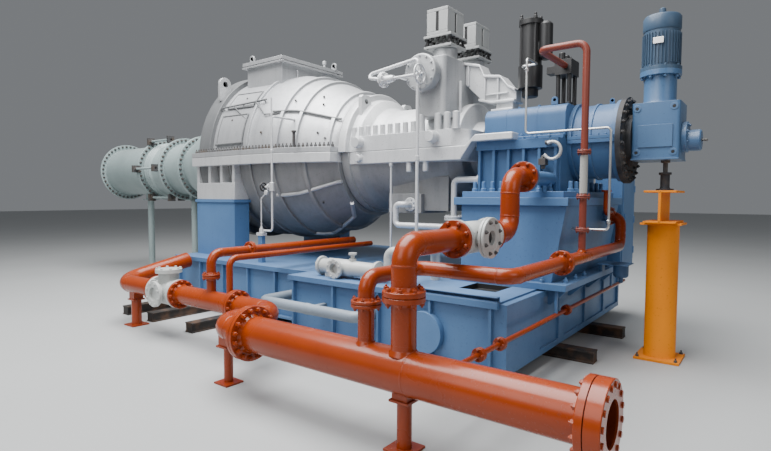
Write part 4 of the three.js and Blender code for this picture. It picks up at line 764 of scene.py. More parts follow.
flange = [brick((CASING_RING_RIGHT, 0.68), CASING_HALF, (CASING_BOTTOM, SHAFT_Z - 0.002)),
          standing(-0.32, -0.74, [(0.756, 0.013), (2.085, 0.013)], 20),
          standing(-0.32, -0.74, [(2.03, 0.028), (2.08, 0.028)], 6),
          round_plug((-0.81, -0.74, 2.15), 0.055, 0.09)]
paw = rounded([(0.48, 2.077), (0.67, 2.077), (0.81, HOUSING_JOINT_Z), (1.29, HOUSING_JOINT_Z), (1.29, 2.345),
               (0.85, 2.345), (0.73, 2.232), (0.48, 2.232)], 0.012)
for side in SIDES:
    low, high = sorted(side * y for y in (0.39, 0.59))
    plate = [(low, 2.74), (high, 2.74), (high, 2.985), (high - 0.03, 3.015), (low + 0.03, 3.015),
             (low, 2.985)]
    upper.append(prism(holed(plate, (side * 0.49, 2.935), 0.034), 0, -0.984, -0.926))
    flange.append(prism(paw, 1, *sorted(side * y for y in (0.6, 0.768))))
build("casing_upper_half", upper, CAST_SILVER, "casing_upper", bevel=0.008)
build("casing_lower_half", lower, CAST_SHADED, "casing_lower", bevel=0.008)
build("casing_flange_and_paws", flange, CAST_SILVER, bevel=0.008)


def grid(across, along, z):
    """Every place where one of the x and one of the y meet, at one height."""
    return [(x, y, z) for x in across for y in along]


NUT_Y = (-0.722, 0.722)
build("casing_cap_nuts", [
    repeat(cap_nut(0.034, 0.135), grid(np.linspace(-0.935, 0, 9), NUT_Y, CASING_TOP)),
    repeat(cap_nut(0.04, 0.2), grid((0.12, 0.345, 0.47, 0.59), NUT_Y, CASING_TOP)),
    repeat(cap_nut(0.034, 0.12), grid((-0.06, 0.18), NUT_Y, CASING_BOTTOM), DOWN),
], CAST_SILVER)


# Steam chest
# A cast block across the top of the casing, closed by a bolted round cover at each end. It holds the
# governing valves, whose bonnets stand on top.

# A darker copy of the cast paint on the chest and its cover bolts: painted shade over the block.
CHEST_PAINTED_SHADE = aluminium_paint("chest_painted_shade_aluminium", (0.52, 0.53, 0.54), (0.33, 0.34, 0.35),
                               (0.09, 0.085, 0.08), 0.46, 0.5, 0.8)
CHEST_X = (0.04, 0.43)
CHEST_HALF = 0.71
CHEST_TOP = 3.3
COVER_RADIUS = 0.215
VALVE_X = 0.215
VALVE_Y = (-0.355, 0.355)
left, right = CHEST_X
plan = rounded([(left, -CHEST_HALF), (right, -CHEST_HALF), (right, CHEST_HALF), (left, CHEST_HALF)], 0.07,
               steps=9)
chest = [prism(plan, 2, 2.6, CHEST_TOP)]
cover = [(0, COVER_RADIUS - 0.02), (0.14, COVER_RADIUS - 0.02), (0.16, COVER_RADIUS), (0.258, COVER_RADIUS),
         (0.27, COVER_RADIUS - 0.012)]
bolts = []
for side, y in zip(SIDES, VALVE_Y):
    chest.append(lathe(cover, (0.18, side * 0.6, 3.1), (0, side, 0), 80))
    chest.append(standing(VALVE_X, y, [(CHEST_TOP - 0.02, 0.18), (CHEST_TOP, 0.18), (CHEST_TOP + 0.03, 0.15),
                                       (CHEST_TOP + 0.15, 0.15)], 64))
    bolts.append(bolts_on_disc((0.18, side * 0.869, 3.1), (0, side, 0), 12, COVER_RADIUS - 0.032,
                               hex_bolt(0.024, 0.016)))
build("chest_block", chest, CHEST_PAINTED_SHADE, "steam_chest", bevel=0.008)
build("chest_cover_bolts", bolts, CHEST_PAINTED_SHADE)


# Valve spring housings
# A slotted box over each governing valve, which shuts in its closing springs. It stands on four studs
# between two plates, and black nuts clamp it down. Black blocks at the back of its slots paint their shade.

WHITE_STEEL = aluminium_paint("spring_housing_paint", (0.38, 0.39, 0.385), (0.3, 0.31, 0.31),
                              (0.16, 0.15, 0.14), 0.45, 0.2)
BONNET_TOP = 3.45
SPRING_LOW = 3.6
SPRING_HIGH = 3.91
SPRING_X = 0.145
SPRING_Y = 0.195
SLOT_HALF = 0.02
SLOT_DEPTH = 0.025
SLOT_INSET = 0.04


def slotted_walls(centre, low, high):
    """The walls of a box with an upright slot halfway along each side."""
    plan = []
    for turn, (along, out) in enumerate(((SPRING_X, SPRING_Y), (SPRING_Y, SPRING_X)) * 2):
        c, s = cos(turn * pi / 2), sin(turn * pi / 2)
        side = [(-along, -out), (-SLOT_HALF, -out), (-SLOT_HALF, SLOT_DEPTH - out),
                (SLOT_HALF, SLOT_DEPTH - out), (SLOT_HALF, -out)]
        plan += [(centre[0] + x * c - y * s, centre[1] + x * s + y * c) for x, y in side]
    return prism(plan, 2, low, high)


slot = (SPRING_LOW + SLOT_INSET, SPRING_HIGH - SLOT_INSET)
# How far into each slot the black blocks reach: they paint the shade at the back of the slots.
slot_shade_reach = SLOT_DEPTH - 0.012
for index, y in enumerate(VALVE_Y, start=1):
    build(f"spring_housing_{index}", [
        slotted_walls((VALVE_X, y), *slot),
        block(VALVE_X, y, SPRING_X, SPRING_Y, SPRING_LOW + 0.001, slot[0]),
        block(VALVE_X, y, SPRING_X, SPRING_Y, slot[1], SPRING_HIGH),
        block(VALVE_X, y, 0.06, 0.06, BONNET_TOP, SPRING_LOW),
        block(VALVE_X, y, 0.19, 0.19, BONNET_TOP, BONNET_TOP + 0.03),
        block(VALVE_X, y, 0.19, 0.2, SPRING_LOW - 0.03, SPRING_LOW),
    ], WHITE_STEEL, f"valve_spring_housing_{index}", bevel=0.005)
    edge = [(u, v) for u in (-1, -0.5, 0, 0.5, 1) for v in SIDES]
    edge += [(u, v) for u in SIDES for v in (-0.5, 0, 0.5)]
    nuts = np.array([(VALVE_X + u * 0.165, y + v * 0.172, BONNET_TOP + 0.03) for u, v in edge])
    build(f"slot_shade_and_spring_clamp_{index}", [
        *[standing(VALVE_X + u * 0.155, y + v * 0.155, [(BONNET_TOP, 0.018), (SPRING_LOW, 0.018)], 20)
          for u in SIDES for v in SIDES],
        block(VALVE_X, y, SLOT_HALF - 0.001, SPRING_Y - slot_shade_reach, *slot),
        block(VALVE_X, y, SPRING_X - slot_shade_reach, SLOT_HALF - 0.001, *slot),
        repeat(hex_bolt(0.036, 0.026, stud=0.016), nuts),
        repeat(hex_bolt(0.036, 0.026), nuts + (0, 0, SPRING_LOW - BONNET_TOP - 0.06), DOWN),
    ], BLACK)


# Lever frame
# The casting that carries the levers from the actuator to the governing valves. It is bolted to the
# chest's side and stands on the bearing cover by a foot.

LEVER_Y = -0.15
LEVER_HALF = 0.12
LEVER_RIGHT = 1.0917
COVER_TOP_Z = 2.65


def slab(line, thickness, half):
    """A plate that follows a line of (x, z) points, its underside on the line, centred on the lever."""
    above = [(x, z + thickness) for x, z in line[::-1]]
    return prism([*line, *above], 1, LEVER_Y - half, LEVER_Y + half)


lever_top = [(LEVER_RIGHT, 2.905), (1, 2.955), (0.905, 3.075), (0.7, 3.105), (0.64, 3.235), (0.43, 3.29)]
web = rounded([(0.43, 3.03), (0.64, 2.83), (0.8, 2.77), (LEVER_RIGHT, 2.77), *lever_top], 0.02)
web_half = LEVER_HALF - 0.045
lever = [
    prism(web, 1, LEVER_Y - web_half, LEVER_Y + web_half),
    slab([(x, z - 0.03) for x, z in lever_top[::-1]], 0.032, LEVER_HALF),
    slab([(0.64, 2.8), (0.8, 2.755), (LEVER_RIGHT, 2.755)], 0.03, LEVER_HALF + 0.015),
    slab([(0.72, 2.86), (1, 2.86)], 0.016, LEVER_HALF - 0.01),
    block(0.955, LEVER_Y, 0.105, LEVER_HALF - 0.03, COVER_TOP_Z, 2.8),
    block(0.955, LEVER_Y, 0.135, 0.17, COVER_TOP_Z, COVER_TOP_Z + 0.03),
]
for x, low, high in ((0.482, 3, 3.27), (0.702, 2.81, 3.09), (0.872, 2.77, 3.06)):
    lever.append(block(x, LEVER_Y, 0.012, LEVER_HALF - 0.012, low, high))
build("lever_casting", lever, CAST_SILVER, "lever_frame", bevel=0.008)


# Actuator
# The hydraulic cylinder that works the valve levers, black enamelled, with its accumulator beside it
# and four tie rods through its head.

ACTUATOR_X = 1.227
ACTUATOR_RADIUS = 0.135
flask_x = ACTUATOR_X + 0.175
rods = grid((ACTUATOR_X - 0.082, ACTUATOR_X + 0.082), (LEVER_Y - 0.082, LEVER_Y + 0.082), 3.659)
build("actuator_body", [
    standing(ACTUATOR_X, LEVER_Y, [(2.8, 0.082), (2.812, 0.09), (2.89, 0.09), (2.895, ACTUATOR_RADIUS),
                                   (3.15, ACTUATOR_RADIUS), (3.153, 0.115), (3.6, 0.115),
                                   (3.603, ACTUATOR_RADIUS), (3.66, ACTUATOR_RADIUS)], 64),
    standing(flask_x, LEVER_Y, [(3.2, 0.045), (3.23, 0.075), (3.59, 0.075), (3.62, 0.045)]),
    brick((ACTUATOR_X, flask_x), (LEVER_Y - 0.05, LEVER_Y + 0.05), (3.3, 3.4)),
    brick((ACTUATOR_X, flask_x), (LEVER_Y - 0.04, LEVER_Y + 0.04), (3.54, 3.6)),
    *[standing(x, y, [(3.15, 0.016), (3.715, 0.016), (3.72, 0.011)], 20) for x, y, _ in rods],
    repeat(hex_bolt(0.042, 0.03), rods),
], BLACK, "actuator", bevel=0.004)


# Steam pipes, drains and tubes
# Thin steel pipe bent cold and held by screwed unions: the drain with its stop valve beside the chest,
# the gland pipe under the casing, the hood's drain with its small black hand wheel, and the bright
# tube round the bearing housing.

BRIGHT_TUBE = aluminium_paint("bright_tube_steel", (0.62, 0.62, 0.61), (0.5, 0.5, 0.49), (0.2, 0.19, 0.18),
                              0.25, 0.9)
DECK_Z = 0.756
STEM_Y = -1.0
STEM_Z = 3.04
DRAIN_Y = -1.4
DRAIN_VALVE_Z = 1.775
SMALL_BOLT = hex_bolt(0.02, 0.014)


def collar(centre, along, radius, length, sides=48):
    """A short turned ring or body, centred, with chamfered ends."""
    edge = min(0.004, length * 0.2)
    return lathe([(-length / 2, radius - edge), (edge - length / 2, radius), (length / 2 - edge, radius),
                  (length / 2, radius - edge)], centre, along, sides)


def hand_wheel(centre, radius, rim, sides, spokes, start, spoke, spoke_sides):
    """A hand wheel on an axle along X: a round rim, and a number of spokes that share one profile."""
    turn = np.linspace(0, 2 * pi, 25)
    shapes = [lathe([(rim * sin(a), radius - rim + rim * cos(a)) for a in turn], centre, RIGHT, sides)]
    for across, up in circle_of(spokes, 1, start):
        shapes.append(lathe(spoke, centre, (0, across, up), spoke_sides))
    return shapes


build("steam_drain", [
    piping([(0.19, -0.92, DECK_Z), (0.19, -0.92, 3.24), (-0.5, -0.94, 3.15), (-0.47, -0.98, 3.09),
            (-0.25, STEM_Y, STEM_Z + 0.004)], 0.02, 0.04),
    collar((-0.3, STEM_Y + 0.002, 3.05), (0.95, 0, -0.2), 0.03, 0.06, 6),
    collar((-0.258, STEM_Y, STEM_Z), RIGHT, 0.09, 0.02),
    collar((-0.232, STEM_Y, STEM_Z), RIGHT, 0.09, 0.024),
    lathe([(-0.222, 0.05), (-0.19, 0.042), (-0.13, 0.042), (-0.12, 0.036), (-0.09, 0.036), (-0.09, 0.016),
           (0.315, 0.016)], (0, STEM_Y, STEM_Z), sides=40),
    brick((-0.02, 0.02), (-1.015, -0.87), (3.025, 3.055)),
    bolts_on_disc((-0.22, STEM_Y, STEM_Z), RIGHT, 8, 0.072, SMALL_BOLT),
    bolts_on_disc((-0.268, STEM_Y, STEM_Z), LEFT, 8, 0.072, SMALL_BOLT),
    collar((0.19, -0.92, 2.1), UP, 0.028, 0.06, 6),
    collar((0.19, -0.92, DECK_Z + 0.014), UP, 0.045, 0.024),
], CAST_SILVER, "steam_pipe")

wheel_centre = (0.27, STEM_Y, STEM_Z)
hub = [(-0.022, 0.017), (-0.022, 0.03), (-0.018, 0.034), (0.018, 0.034), (0.022, 0.03), (0.022, 0.017),
       (-0.022, 0.017)]
build("stop_valve_wheel", [
    *hand_wheel(wheel_centre, 0.118, 0.011, 72, spokes=5, start=pi / 2,
                spoke=[(0.026, 0.009), (0.107, 0.007)], spoke_sides=16),
    lathe(hub, wheel_centre, sides=40),
], CAST_SILVER, "steam_valve_handwheel", body="handwheel")

build("gland_pipe", [
    piping([(-0.113, -0.6, 1.559), (-0.113, -0.72, 1.559), (-0.26, -0.72, 1.559), (-0.26, -0.72, 1.3),
            (0.48, -0.72, 1.3), (0.48, -0.56, 1.3), (0.48, -0.56, 1.855), (0.82, -0.56, 1.855)], 0.037, 0.06),
    collar((-0.113, -0.614, 1.559), FRONT, 0.085, 0.026),
    bolts_on_disc((-0.113, -0.627, 1.559), FRONT, 8, 0.066, SMALL_BOLT),
    collar((0.808, -0.56, 1.855), RIGHT, 0.06, 0.025),
    collar((0.48, -0.56, 1.386), UP, 0.115, 0.024),
    collar((0.48, -0.56, 1.413), UP, 0.115, 0.024),
    bolts_on_disc((0.48, -0.56, 1.424), UP, 8, 0.092, SMALL_BOLT),
], CAST_SILVER, "gland_steam_pipe")

valve = (-1.85, DRAIN_Y, DRAIN_VALVE_Z)
build("hood_drain", [
    piping([(-1.79, -0.94, 2.7), (-1.79, DRAIN_Y, 2.7), (-1.79, DRAIN_Y, 1.19), (-1.96, DRAIN_Y, 1.19)],
           0.014, 0.045, 20),
    piping([(-1.79, DRAIN_Y, 2.64), (-1.79, DRAIN_Y, 2.94)], 0.011, sides=16),
    piping([(-1.94, DRAIN_Y, DRAIN_VALVE_Z), (-1.79, DRAIN_Y, DRAIN_VALVE_Z)], 0.012, sides=14),
    piping([valve, (-1.905, DRAIN_Y, 1.7), (-2.01, DRAIN_Y, 1.62), (-2.01, DRAIN_Y, 1.2)], 0.009, 0.03, 14),
    standing(-1.79, DRAIN_Y, [(1.715, 0.024), (1.722, 0.034), (1.828, 0.034), (1.835, 0.024)], 6),
    standing(-2.01, DRAIN_Y, [(1.155, 0.03), (1.215, 0.03), (1.216, 0.02), (1.24, 0.02)], 6),
    collar(valve, RIGHT, 0.042, 0.02, 32),
    collar((-1.905, DRAIN_Y, 1.7), FRONT, 0.034, 0.03, 32),
    collar((-1.79, DRAIN_Y, 2.25), UP, 0.022, 0.04, 6),
    block(-2.01, DRAIN_Y, 0.06, 0.04, 1.12, 1.16),
], CAST_SILVER, "hood_drain_pipe")
build("hood_drain_wheel", [
    *hand_wheel((-1.965, DRAIN_Y, DRAIN_VALVE_Z), 0.062, 0.009, 48, spokes=4, start=pi / 4,
                spoke=[(0.01, 0.006), (0.05, 0.005)], spoke_sides=12),
    collar((-1.953, DRAIN_Y, DRAIN_VALVE_Z), RIGHT, 0.016, 0.06, 24),
], BLACK)
build("hood_drain_bracket", [block(-2.01, DRAIN_Y, 0.04, 0.03, DECK_Z, 1.121)], BLUE, bevel=0.002)

build("bright_tube", [
    piping([(1.227, -0.28, 3.1), (1.227, -0.4, 3.1), (1.41, -0.4, 3.1), (1.41, -0.7, 3.1), (1.41, -0.7, 2.32),
            (2.26, -0.7, 2.32), (2.26, -0.7, 1.34), (1.911, -0.7, 1.34)], 0.012, 0.04, 20),
    collar((1.227, -0.3, 3.1), REAR, 0.02, 0.03, 6),
    collar((1.41, -0.7, 2.98), UP, 0.019, 0.034, 6),
    collar((2.26, -0.7, 1.42), UP, 0.019, 0.034, 6),
], BRIGHT_TUBE, "instrument_tube")


# Pedestal
# The welded box that carries the front bearing: plate walls, the end one leaning in to its foot, a thick
# table with a bed plate held down by studs, and a foot plate that reaches past the skid on gussets.

FOOT_TOP = 0.82
TABLE_LOW = 1.57
TABLE_TOP = 1.65
BED_TOP = 1.712
PORT = (2, 0.38, 1.44)
POT = (2.17, 0.24)
walls = [(HOUSING_LEFT, 0.819), (1.82, 0.819), (1.95, TABLE_LOW), (HOUSING_LEFT, TABLE_LOW)]
gusset = [(1.77, DECK_Z + 0.001), (1.77, 0.596), (1.8, 0.596), (1.94, DECK_Z - 0.03), (1.94, DECK_Z + 0.001)]
build("pedestal_box", [
    brick((0.73, 1.986), 1.07, (DECK_Z, FOOT_TOP)),
    prism(walls, 1, -0.99, 0.99),
    brick((0.75, 1.98), 1.04, (TABLE_LOW, TABLE_TOP)),
    brick((0.795, 1.9), 0.93, (TABLE_TOP - 0.001, BED_TOP)),
    lathe([(1.78, 0.062), (1.972, 0.062), (1.972, 0.105), (PORT[0], 0.105)], (0, *PORT[1:])),
    brick((1.946, 1.986), (0.18, 0.3), (0.819, 0.905)),
    brick((1.946, 2.27), (0.09, 0.39), (0.904, 0.917)),
    standing(*POT, [(0.76, 0.06), (0.775, 0.078), (0.79, 0.08), (0.905, 0.08)]),
    standing(*POT, [(0.7, 0.024), (0.765, 0.024)], 24),
    *[prism(gusset, 1, y - 0.01, y + 0.01) for y in (-0.94, -0.33, 0.33, 0.94)],
], BLUE, "pedestal", bevel=0.004)

stud = standing(0, 0, [(0.03, 0.022), (0.104, 0.022), (0.11, 0.016)], 24)
table_places = grid(np.linspace(0.86, 1.7, 9), (-0.76, 0.76), BED_TOP)
table_places += grid([1.845], np.linspace(-0.56, 0.56, 7), BED_TOP)
foot_places = grid(np.linspace(0.79, 1.74, 7), (-1.03, 1.03), FOOT_TOP)
foot_places += grid([1.93], (-0.9, -0.6, -0.3, 0.6, 0.9), FOOT_TOP)
build("pedestal_bolts", [
    repeat(gather([hex_bolt(0.058, 0.036), stud]), table_places),
    repeat(hex_bolt(0.041, 0.032, stud=0.02), foot_places),
], BLUE)


# Bearing housing
# A ribbed box cast to hold the front bearing, with the round-shouldered cover bolted along its joint, in
# steel-blue enamel. A flanged stub on its front takes the oil pipe, and a braided hose hangs beside it.

HOUSING_BLUE = enamel("housing_blue_enamel", (0.066, 0.145, 0.285), (0.049, 0.11, 0.225), 0.42, **SEMI_GLOSS)
HOUSING_RIGHT = 1.75
HOUSING_X = (HOUSING_LEFT, HOUSING_RIGHT)
LIP_X = (HOUSING_LEFT + 0.003, HOUSING_RIGHT - 0.003)
STUB = (1.66, -1.33, 1.84)
COVER_HALF = 0.47
SHOULDER = 0.12


def flange(face, along, radius, thickness, bolts, nut, pipe):
    """A pipe flange whose joint face lies at face, with its pipe going off along: the disc, a raised
    weld neck and the nuts on its back. Bolts lie at the middle of the rim outside the neck."""
    gap = 0.0015
    neck = pipe + (radius - pipe) * 0.22
    disc = lathe([(gap, radius - 0.003), (gap + 0.003, radius), (thickness - 0.003, radius),
                  (thickness, radius - 0.003), (thickness, neck),
                  (thickness * 1.7, pipe + 0.001)], face, along, 72)
    back = np.array(face) + np.array(along, float) * (thickness - 0.0005)
    return [disc, bolts_on_disc(back, along, bolts, (neck + radius) / 2,
                                hex_bolt(nut, nut * 0.75, stud=nut * 0.35))]


build("bearing_housing_box", [
    brick(HOUSING_X, 0.6, (TABLE_TOP + 0.001, HOUSING_JOINT_Z)),
    brick(LIP_X, 0.67, (HOUSING_JOINT_Z - 0.1, HOUSING_JOINT_Z - 0.001)),
    brick(LIP_X, 0.67, (TABLE_TOP + 0.002, TABLE_TOP + 0.04)),
    *[brick((x, x + 0.03), 0.66, (TABLE_TOP + 0.02, HOUSING_JOINT_Z - 0.02))
      for x in np.linspace(HOUSING_LEFT + 0.02, HOUSING_RIGHT - 0.05, 6)],
    piping([(1.66, -0.59, 1.84), (1.66, -1.3, 1.84)], 0.07, sides=40),
    *flange(STUB, REAR, radius=0.142, thickness=0.035, bolts=8, nut=0.03, pipe=0.07),
], HOUSING_BLUE, "bearing_housing", bevel=0.004)

cover_low = HOUSING_JOINT_Z + 0.002
lip_top = HOUSING_JOINT_Z + 0.045
arc = [(COVER_HALF - SHOULDER * (1 - cos(a)), COVER_TOP_Z - SHOULDER * (1 - sin(a)))
       for a in np.linspace(0, pi / 2, 13)]
outline = [(-COVER_HALF, cover_low), (COVER_HALF, cover_low), *arc, *[(-y, z) for y, z in arc[::-1]]]
build("bearing_cover_shell", [prism(outline, 0, *HOUSING_X),
                              brick(HOUSING_X, COVER_HALF + 0.06, (cover_low, lip_top))],
      HOUSING_BLUE, "bearing_cover", bevel=0.005)
strap = [(y * 1.004, HOUSING_JOINT_Z + (z - HOUSING_JOINT_Z) * 1.006) for y, z in outline]
lip_places = grid(np.linspace(HOUSING_LEFT + 0.05, HOUSING_RIGHT - 0.05, 9), (-0.502, 0.502), lip_top)
lip_places += grid((1.36, 1.5, 1.64), (-0.63, 0.63), HOUSING_JOINT_Z)
build("bearing_cover_fittings", [
    *[prism(strap, 0, x, x + 0.012) for x in (1.075, 1.43)],
    repeat(hex_bolt(0.036, 0.028, stud=0.012), lip_places),
    repeat(hex_bolt(0.03, 0.022), grid((0.86, 1.17, 1.4, 1.71), (-0.3, 0.02, 0.3), COVER_TOP_Z + 0.002)),
    *[prism(eye_plate(x, COVER_TOP_Z - 0.002, 0.07, 0.085, 0.017), 1, y - 0.01, y + 0.01)
      for x, y in ((1.6, -0.382), (0.95, 0.382))],
], HOUSING_BLUE)

BRAID = aluminium_paint("braided_hose", (0.55, 0.56, 0.56), (0.32, 0.32, 0.32), (0.16, 0.15, 0.14), 0.4, 0.6)
turns = np.linspace(0.62 * pi, -0.78 * pi, 14)
corners = [(1.703 + 0.088 * cos(a), -0.715, 2.13 + 0.088 * sin(a)) for a in turns]
unions = [collar(corners[end], (-sin(turns[end]), 0, cos(turns[end])), 0.02, length, 6)
          for end, length in ((0, 0.04), (-1, 0.05))]
build("braided_hose", [piping(corners, 0.017, 0.012, 24), *unions], BRAID)
build("hose_fitting", [
    brick((1.57, 1.64), (-0.745, -0.66), (1.985, 2.05)),
    collar((1.6, -0.702, 2.04), (0.5, 0, 0.8), 0.03, 0.08, 6),
    collar((1.605, -0.7, 1.97), UP, 0.024, 0.05, 6),
    collar((1.65, -0.69, 2.215), RIGHT, 0.024, 0.06, 6),
    collar((1.64, -0.65, 2.215), REAR, 0.018, 0.09, 24),
], BOLT_STEEL)


# Rear cabinet
# The tall oil and instrument cabinet behind the pedestal, folded from sheet, with a door in its end
# that has a bar handle and three hinges.

CABINET_RIGHT = 1.97
build("cabinet_box", [brick((1.64, CABINET_RIGHT), (1.075, 1.75), (DECK_Z, 1.95))], BLUE,
      "rear_cabinet", bevel=0.005)
build("cabinet_door", [
    brick((CABINET_RIGHT - 0.004, CABINET_RIGHT + 0.01), (1.115, 1.71), (0.83, 1.89)),
    brick((CABINET_RIGHT + 0.008, CABINET_RIGHT + 0.03), (1.15, 1.175), (1.33, 1.45)),
    *[standing(CABINET_RIGHT + 0.012, 1.702, [(z - 0.045, 0.01), (z + 0.045, 0.01)], 16)
      for z in (0.95, 1.36, 1.77)],
], BLUE, bevel=0.003)


# Coupling housing
# The rolled drum over the coupling between the turbine and its turning gear. It bolts by a ring to the
# bearing housing, and a band and a seam run round its middle.

DRUM_RIGHT = 2.23
DRUM_RADIUS = 0.398
DRUM_RIM = 0.43
DRUM_Z = 2.255
drum_line = (0, 0, DRUM_Z)
rim_left = HOUSING_RIGHT + 0.045
rim_right = DRUM_RIGHT - 0.045
ledge_x = (HOUSING_RIGHT + 0.01, DRUM_RIGHT - 0.01)
joint_places = grid(np.linspace(HOUSING_RIGHT + 0.09, DRUM_RIGHT - 0.09, 5), (-0.425, 0.425), DRUM_Z + 0.032)
build("coupling_drum", [
    lathe([(HOUSING_RIGHT, DRUM_RIM), (rim_left, DRUM_RIM), (rim_left, DRUM_RADIUS), (1.96, DRUM_RADIUS),
           (1.962, 0.412), (1.988, 0.412), (1.99, DRUM_RADIUS), (rim_right, DRUM_RADIUS),
           (rim_right, DRUM_RIM), (DRUM_RIGHT, DRUM_RIM)], drum_line, sides=112),
    *[brick(ledge_x, sorted((side * 0.38, side * 0.445)), (DRUM_Z + z, DRUM_Z + z + 0.034))
      for side in SIDES for z in (-0.04, -0.002)],
    repeat(hex_bolt(0.026, 0.02), joint_places),
    prism(eye_plate(2.09, DRUM_Z + 0.39, 0.05, 0.075, 0.014), 1, -0.009, 0.009),
], HOUSING_BLUE, "coupling_housing", bevel=0.003)


# Turning gear
# A worm gear with an upright motor, which turns the shaft slowly when the turbine is stopped. A dark
# steel ring bolts it to the drum, and a T handle in its end cap turns it by hand.

RING_STEEL = rolled_steel("ring_steel", (0.045, 0.047, 0.052), (0.075, 0.068, 0.062))
GEAR_BLUE = enamel("gear_casting_enamel", (0.06, 0.14, 0.27), (0.045, 0.105, 0.215), 0.4, coat=0.2,
                   peel=0.0012)
MOTOR_BLUE = enamel("motor_enamel", (0.046, 0.085, 0.14), (0.034, 0.062, 0.105), 0.45, **SEMI_GLOSS)
HANDLE_STEEL = rolled_steel("handle_steel", (0.2, 0.19, 0.18), (0.13, 0.1, 0.08))
ADAPTER_RIGHT = 2.28
GEAR_LEFT = 2.336
GEAR_RIGHT = 2.767
GEAR_HALF = 0.22
GEAR_LOW = 2.046
CAP_Z = 2.222
CAP_RING_Z = 2.258
MOTOR_X = 2.548
adapter_face = (ADAPTER_RIGHT - 0.001, 0, DRUM_Z)
build("adapter_ring_disc", [
    lathe([(DRUM_RIGHT, 0.451), (ADAPTER_RIGHT, 0.451), (ADAPTER_RIGHT, 0.27), (GEAR_LEFT, 0.27)], drum_line,
          sides=112),
    bolts_on_disc(adapter_face, RIGHT, 24, 0.418, hex_bolt(0.034, 0.024, stud=0.01)),
    bolts_on_disc(adapter_face, RIGHT, 16, 0.335, hex_bolt(0.028, 0.022)),
], RING_STEEL, "adapter_ring", bevel=0.003)

plan = rounded([(GEAR_LEFT, -GEAR_HALF), (GEAR_RIGHT, -GEAR_HALF), (GEAR_RIGHT, GEAR_HALF),
                (GEAR_LEFT, GEAR_HALF)], 0.03)
bosses = [((x, side * GEAR_HALF, z), (0, side, 0))
          for side in SIDES for x in (2.385, 2.715) for z in (2.105, 2.545)]
build("gear_case_casting", [
    brick((GEAR_LEFT, GEAR_RIGHT), 0.24, (2.031, GEAR_LOW)),
    prism(plan, 2, GEAR_LOW - 0.001, 2.6),
    brick((2.396, 2.707), 0.232, (2.156, 2.376)),
    standing(MOTOR_X, 0, [(2.599, 0.165), (2.64, 0.15), (2.876, 0.15), (2.88, 0.19), (2.93, 0.19)], 64),
    collar((2.7905, 0, CAP_RING_Z), RIGHT, 0.153, 0.049, 64),
    lathe([(2.77, 0.105), (2.918, 0.105), (2.93, 0.093), (2.93, 0.013), (2.89, 0.013)], (0, 0, CAP_Z),
          sides=64),
    *[lathe([(-0.004, 0.034), (0.006, 0.034)], place, out, 32) for place, out in bosses],
    bolts_on_disc((2.8145, 0, CAP_RING_Z), RIGHT, 8, 0.13, hex_bolt(0.022, 0.016)),
    bolts_on_disc((MOTOR_X, 0, 2.875), DOWN, 8, 0.17, hex_bolt(0.028, 0.022)),
], GEAR_BLUE, "gear_case", bevel=0.003)
# Black discs on the bosses: painted shade inside their socket holes.
sockets = [lathe([(0.0068, 0.0165), (0.0062, 0.0165)], place, out, 24) for place, out in bosses]
build("gear_case_socket_shade", sockets, BLACK)

motor = [
    standing(MOTOR_X, 0, [(2.93, 0.19), (2.965, 0.19), (2.966, 0.165), (3.329, 0.165), (3.331, 0.17),
                          (3.345, 0.175), (3.46, 0.175), (3.482, 0.16), (3.49, 0.12)], 72),
    standing(MOTOR_X, 0, [(3.48, 0.034), (3.56, 0.03), (3.57, 0.018)], 32),
    brick((2.458, 2.638), (0.12, 0.26), (3.1, 3.27)),
    brick((2.448, 2.648), (0.255, 0.268), (3.09, 3.28)),
    bolts_on_disc((MOTOR_X, 0, 2.964), UP, 8, 0.178, hex_bolt(0.022, 0.018)),
]
fin = ((0.16, -0.0022), (0.179, -0.0022), (0.179, 0.0022), (0.16, 0.0022))
for c, s in circle_of(36, 1):
    motor.append(prism([(MOTOR_X + reach * c - y * s, reach * s + y * c) for reach, y in fin], 2, 2.99, 3.3))
build("motor_shell", motor, MOTOR_BLUE, "gear_motor")
build("motor_name_plate", [brick((2.5, 2.596), (-0.1835, -0.1775), (3.18, 3.24))], BRIGHT_TUBE,
      bevel=0.001)
build("handle_bar", [
    lathe([(2.905, 0.012), (2.97, 0.012)], (0, 0, CAP_Z), sides=32),
    lathe([(-0.048, 0.007), (-0.045, 0.01), (0.045, 0.01), (0.048, 0.007)], (2.969, 0, CAP_Z), REAR, 24),
], HANDLE_STEEL, "turning_handle", body="handle")


# Yellow stand and jack
# The works' own tube stand under the turning gear, in yellow paint, with an I beam welded across its
# top and a screw jack on that to steady the gear.

YELLOW = enamel("yellow_paint", (0.78, 0.235, 0.001), (0.68, 0.19, 0.001), 0.5, dust=0.05, coat=0.0,
                wear=0.08, specular=0.2)
STAND = (2.623, -0.02)
STAND_TOP = 1.4
BEAM_TOP = 1.725
thread = [(z, 0.0235 if step % 2 else 0.0205) for step, z in enumerate(np.linspace(1.815, 2.006, 96))]
build("stand_tube", [
    block(*STAND, 0.207, 0.21, 0, 0.025),
    standing(*STAND, [(0.024, 0.153), (0.034, 0.147), (1.372, 0.147), (1.381, 0.153)], 72),
    block(*STAND, 0.185, 0.185, 1.38, STAND_TOP),
    block(*STAND, 0.145, 0.26, STAND_TOP, STAND_TOP + 0.02),
    block(*STAND, 0.012, 0.26, STAND_TOP + 0.01, BEAM_TOP - 0.01),
    block(*STAND, 0.145, 0.26, BEAM_TOP - 0.02, BEAM_TOP),
], YELLOW, "yellow_stand", bevel=0.002)
build("stand_bolts", [repeat(hex_bolt(0.03, 0.02, stud=0.02), grid((2.448, 2.798), (-0.198, 0.158), 0.025))],
      BOLT_STEEL)
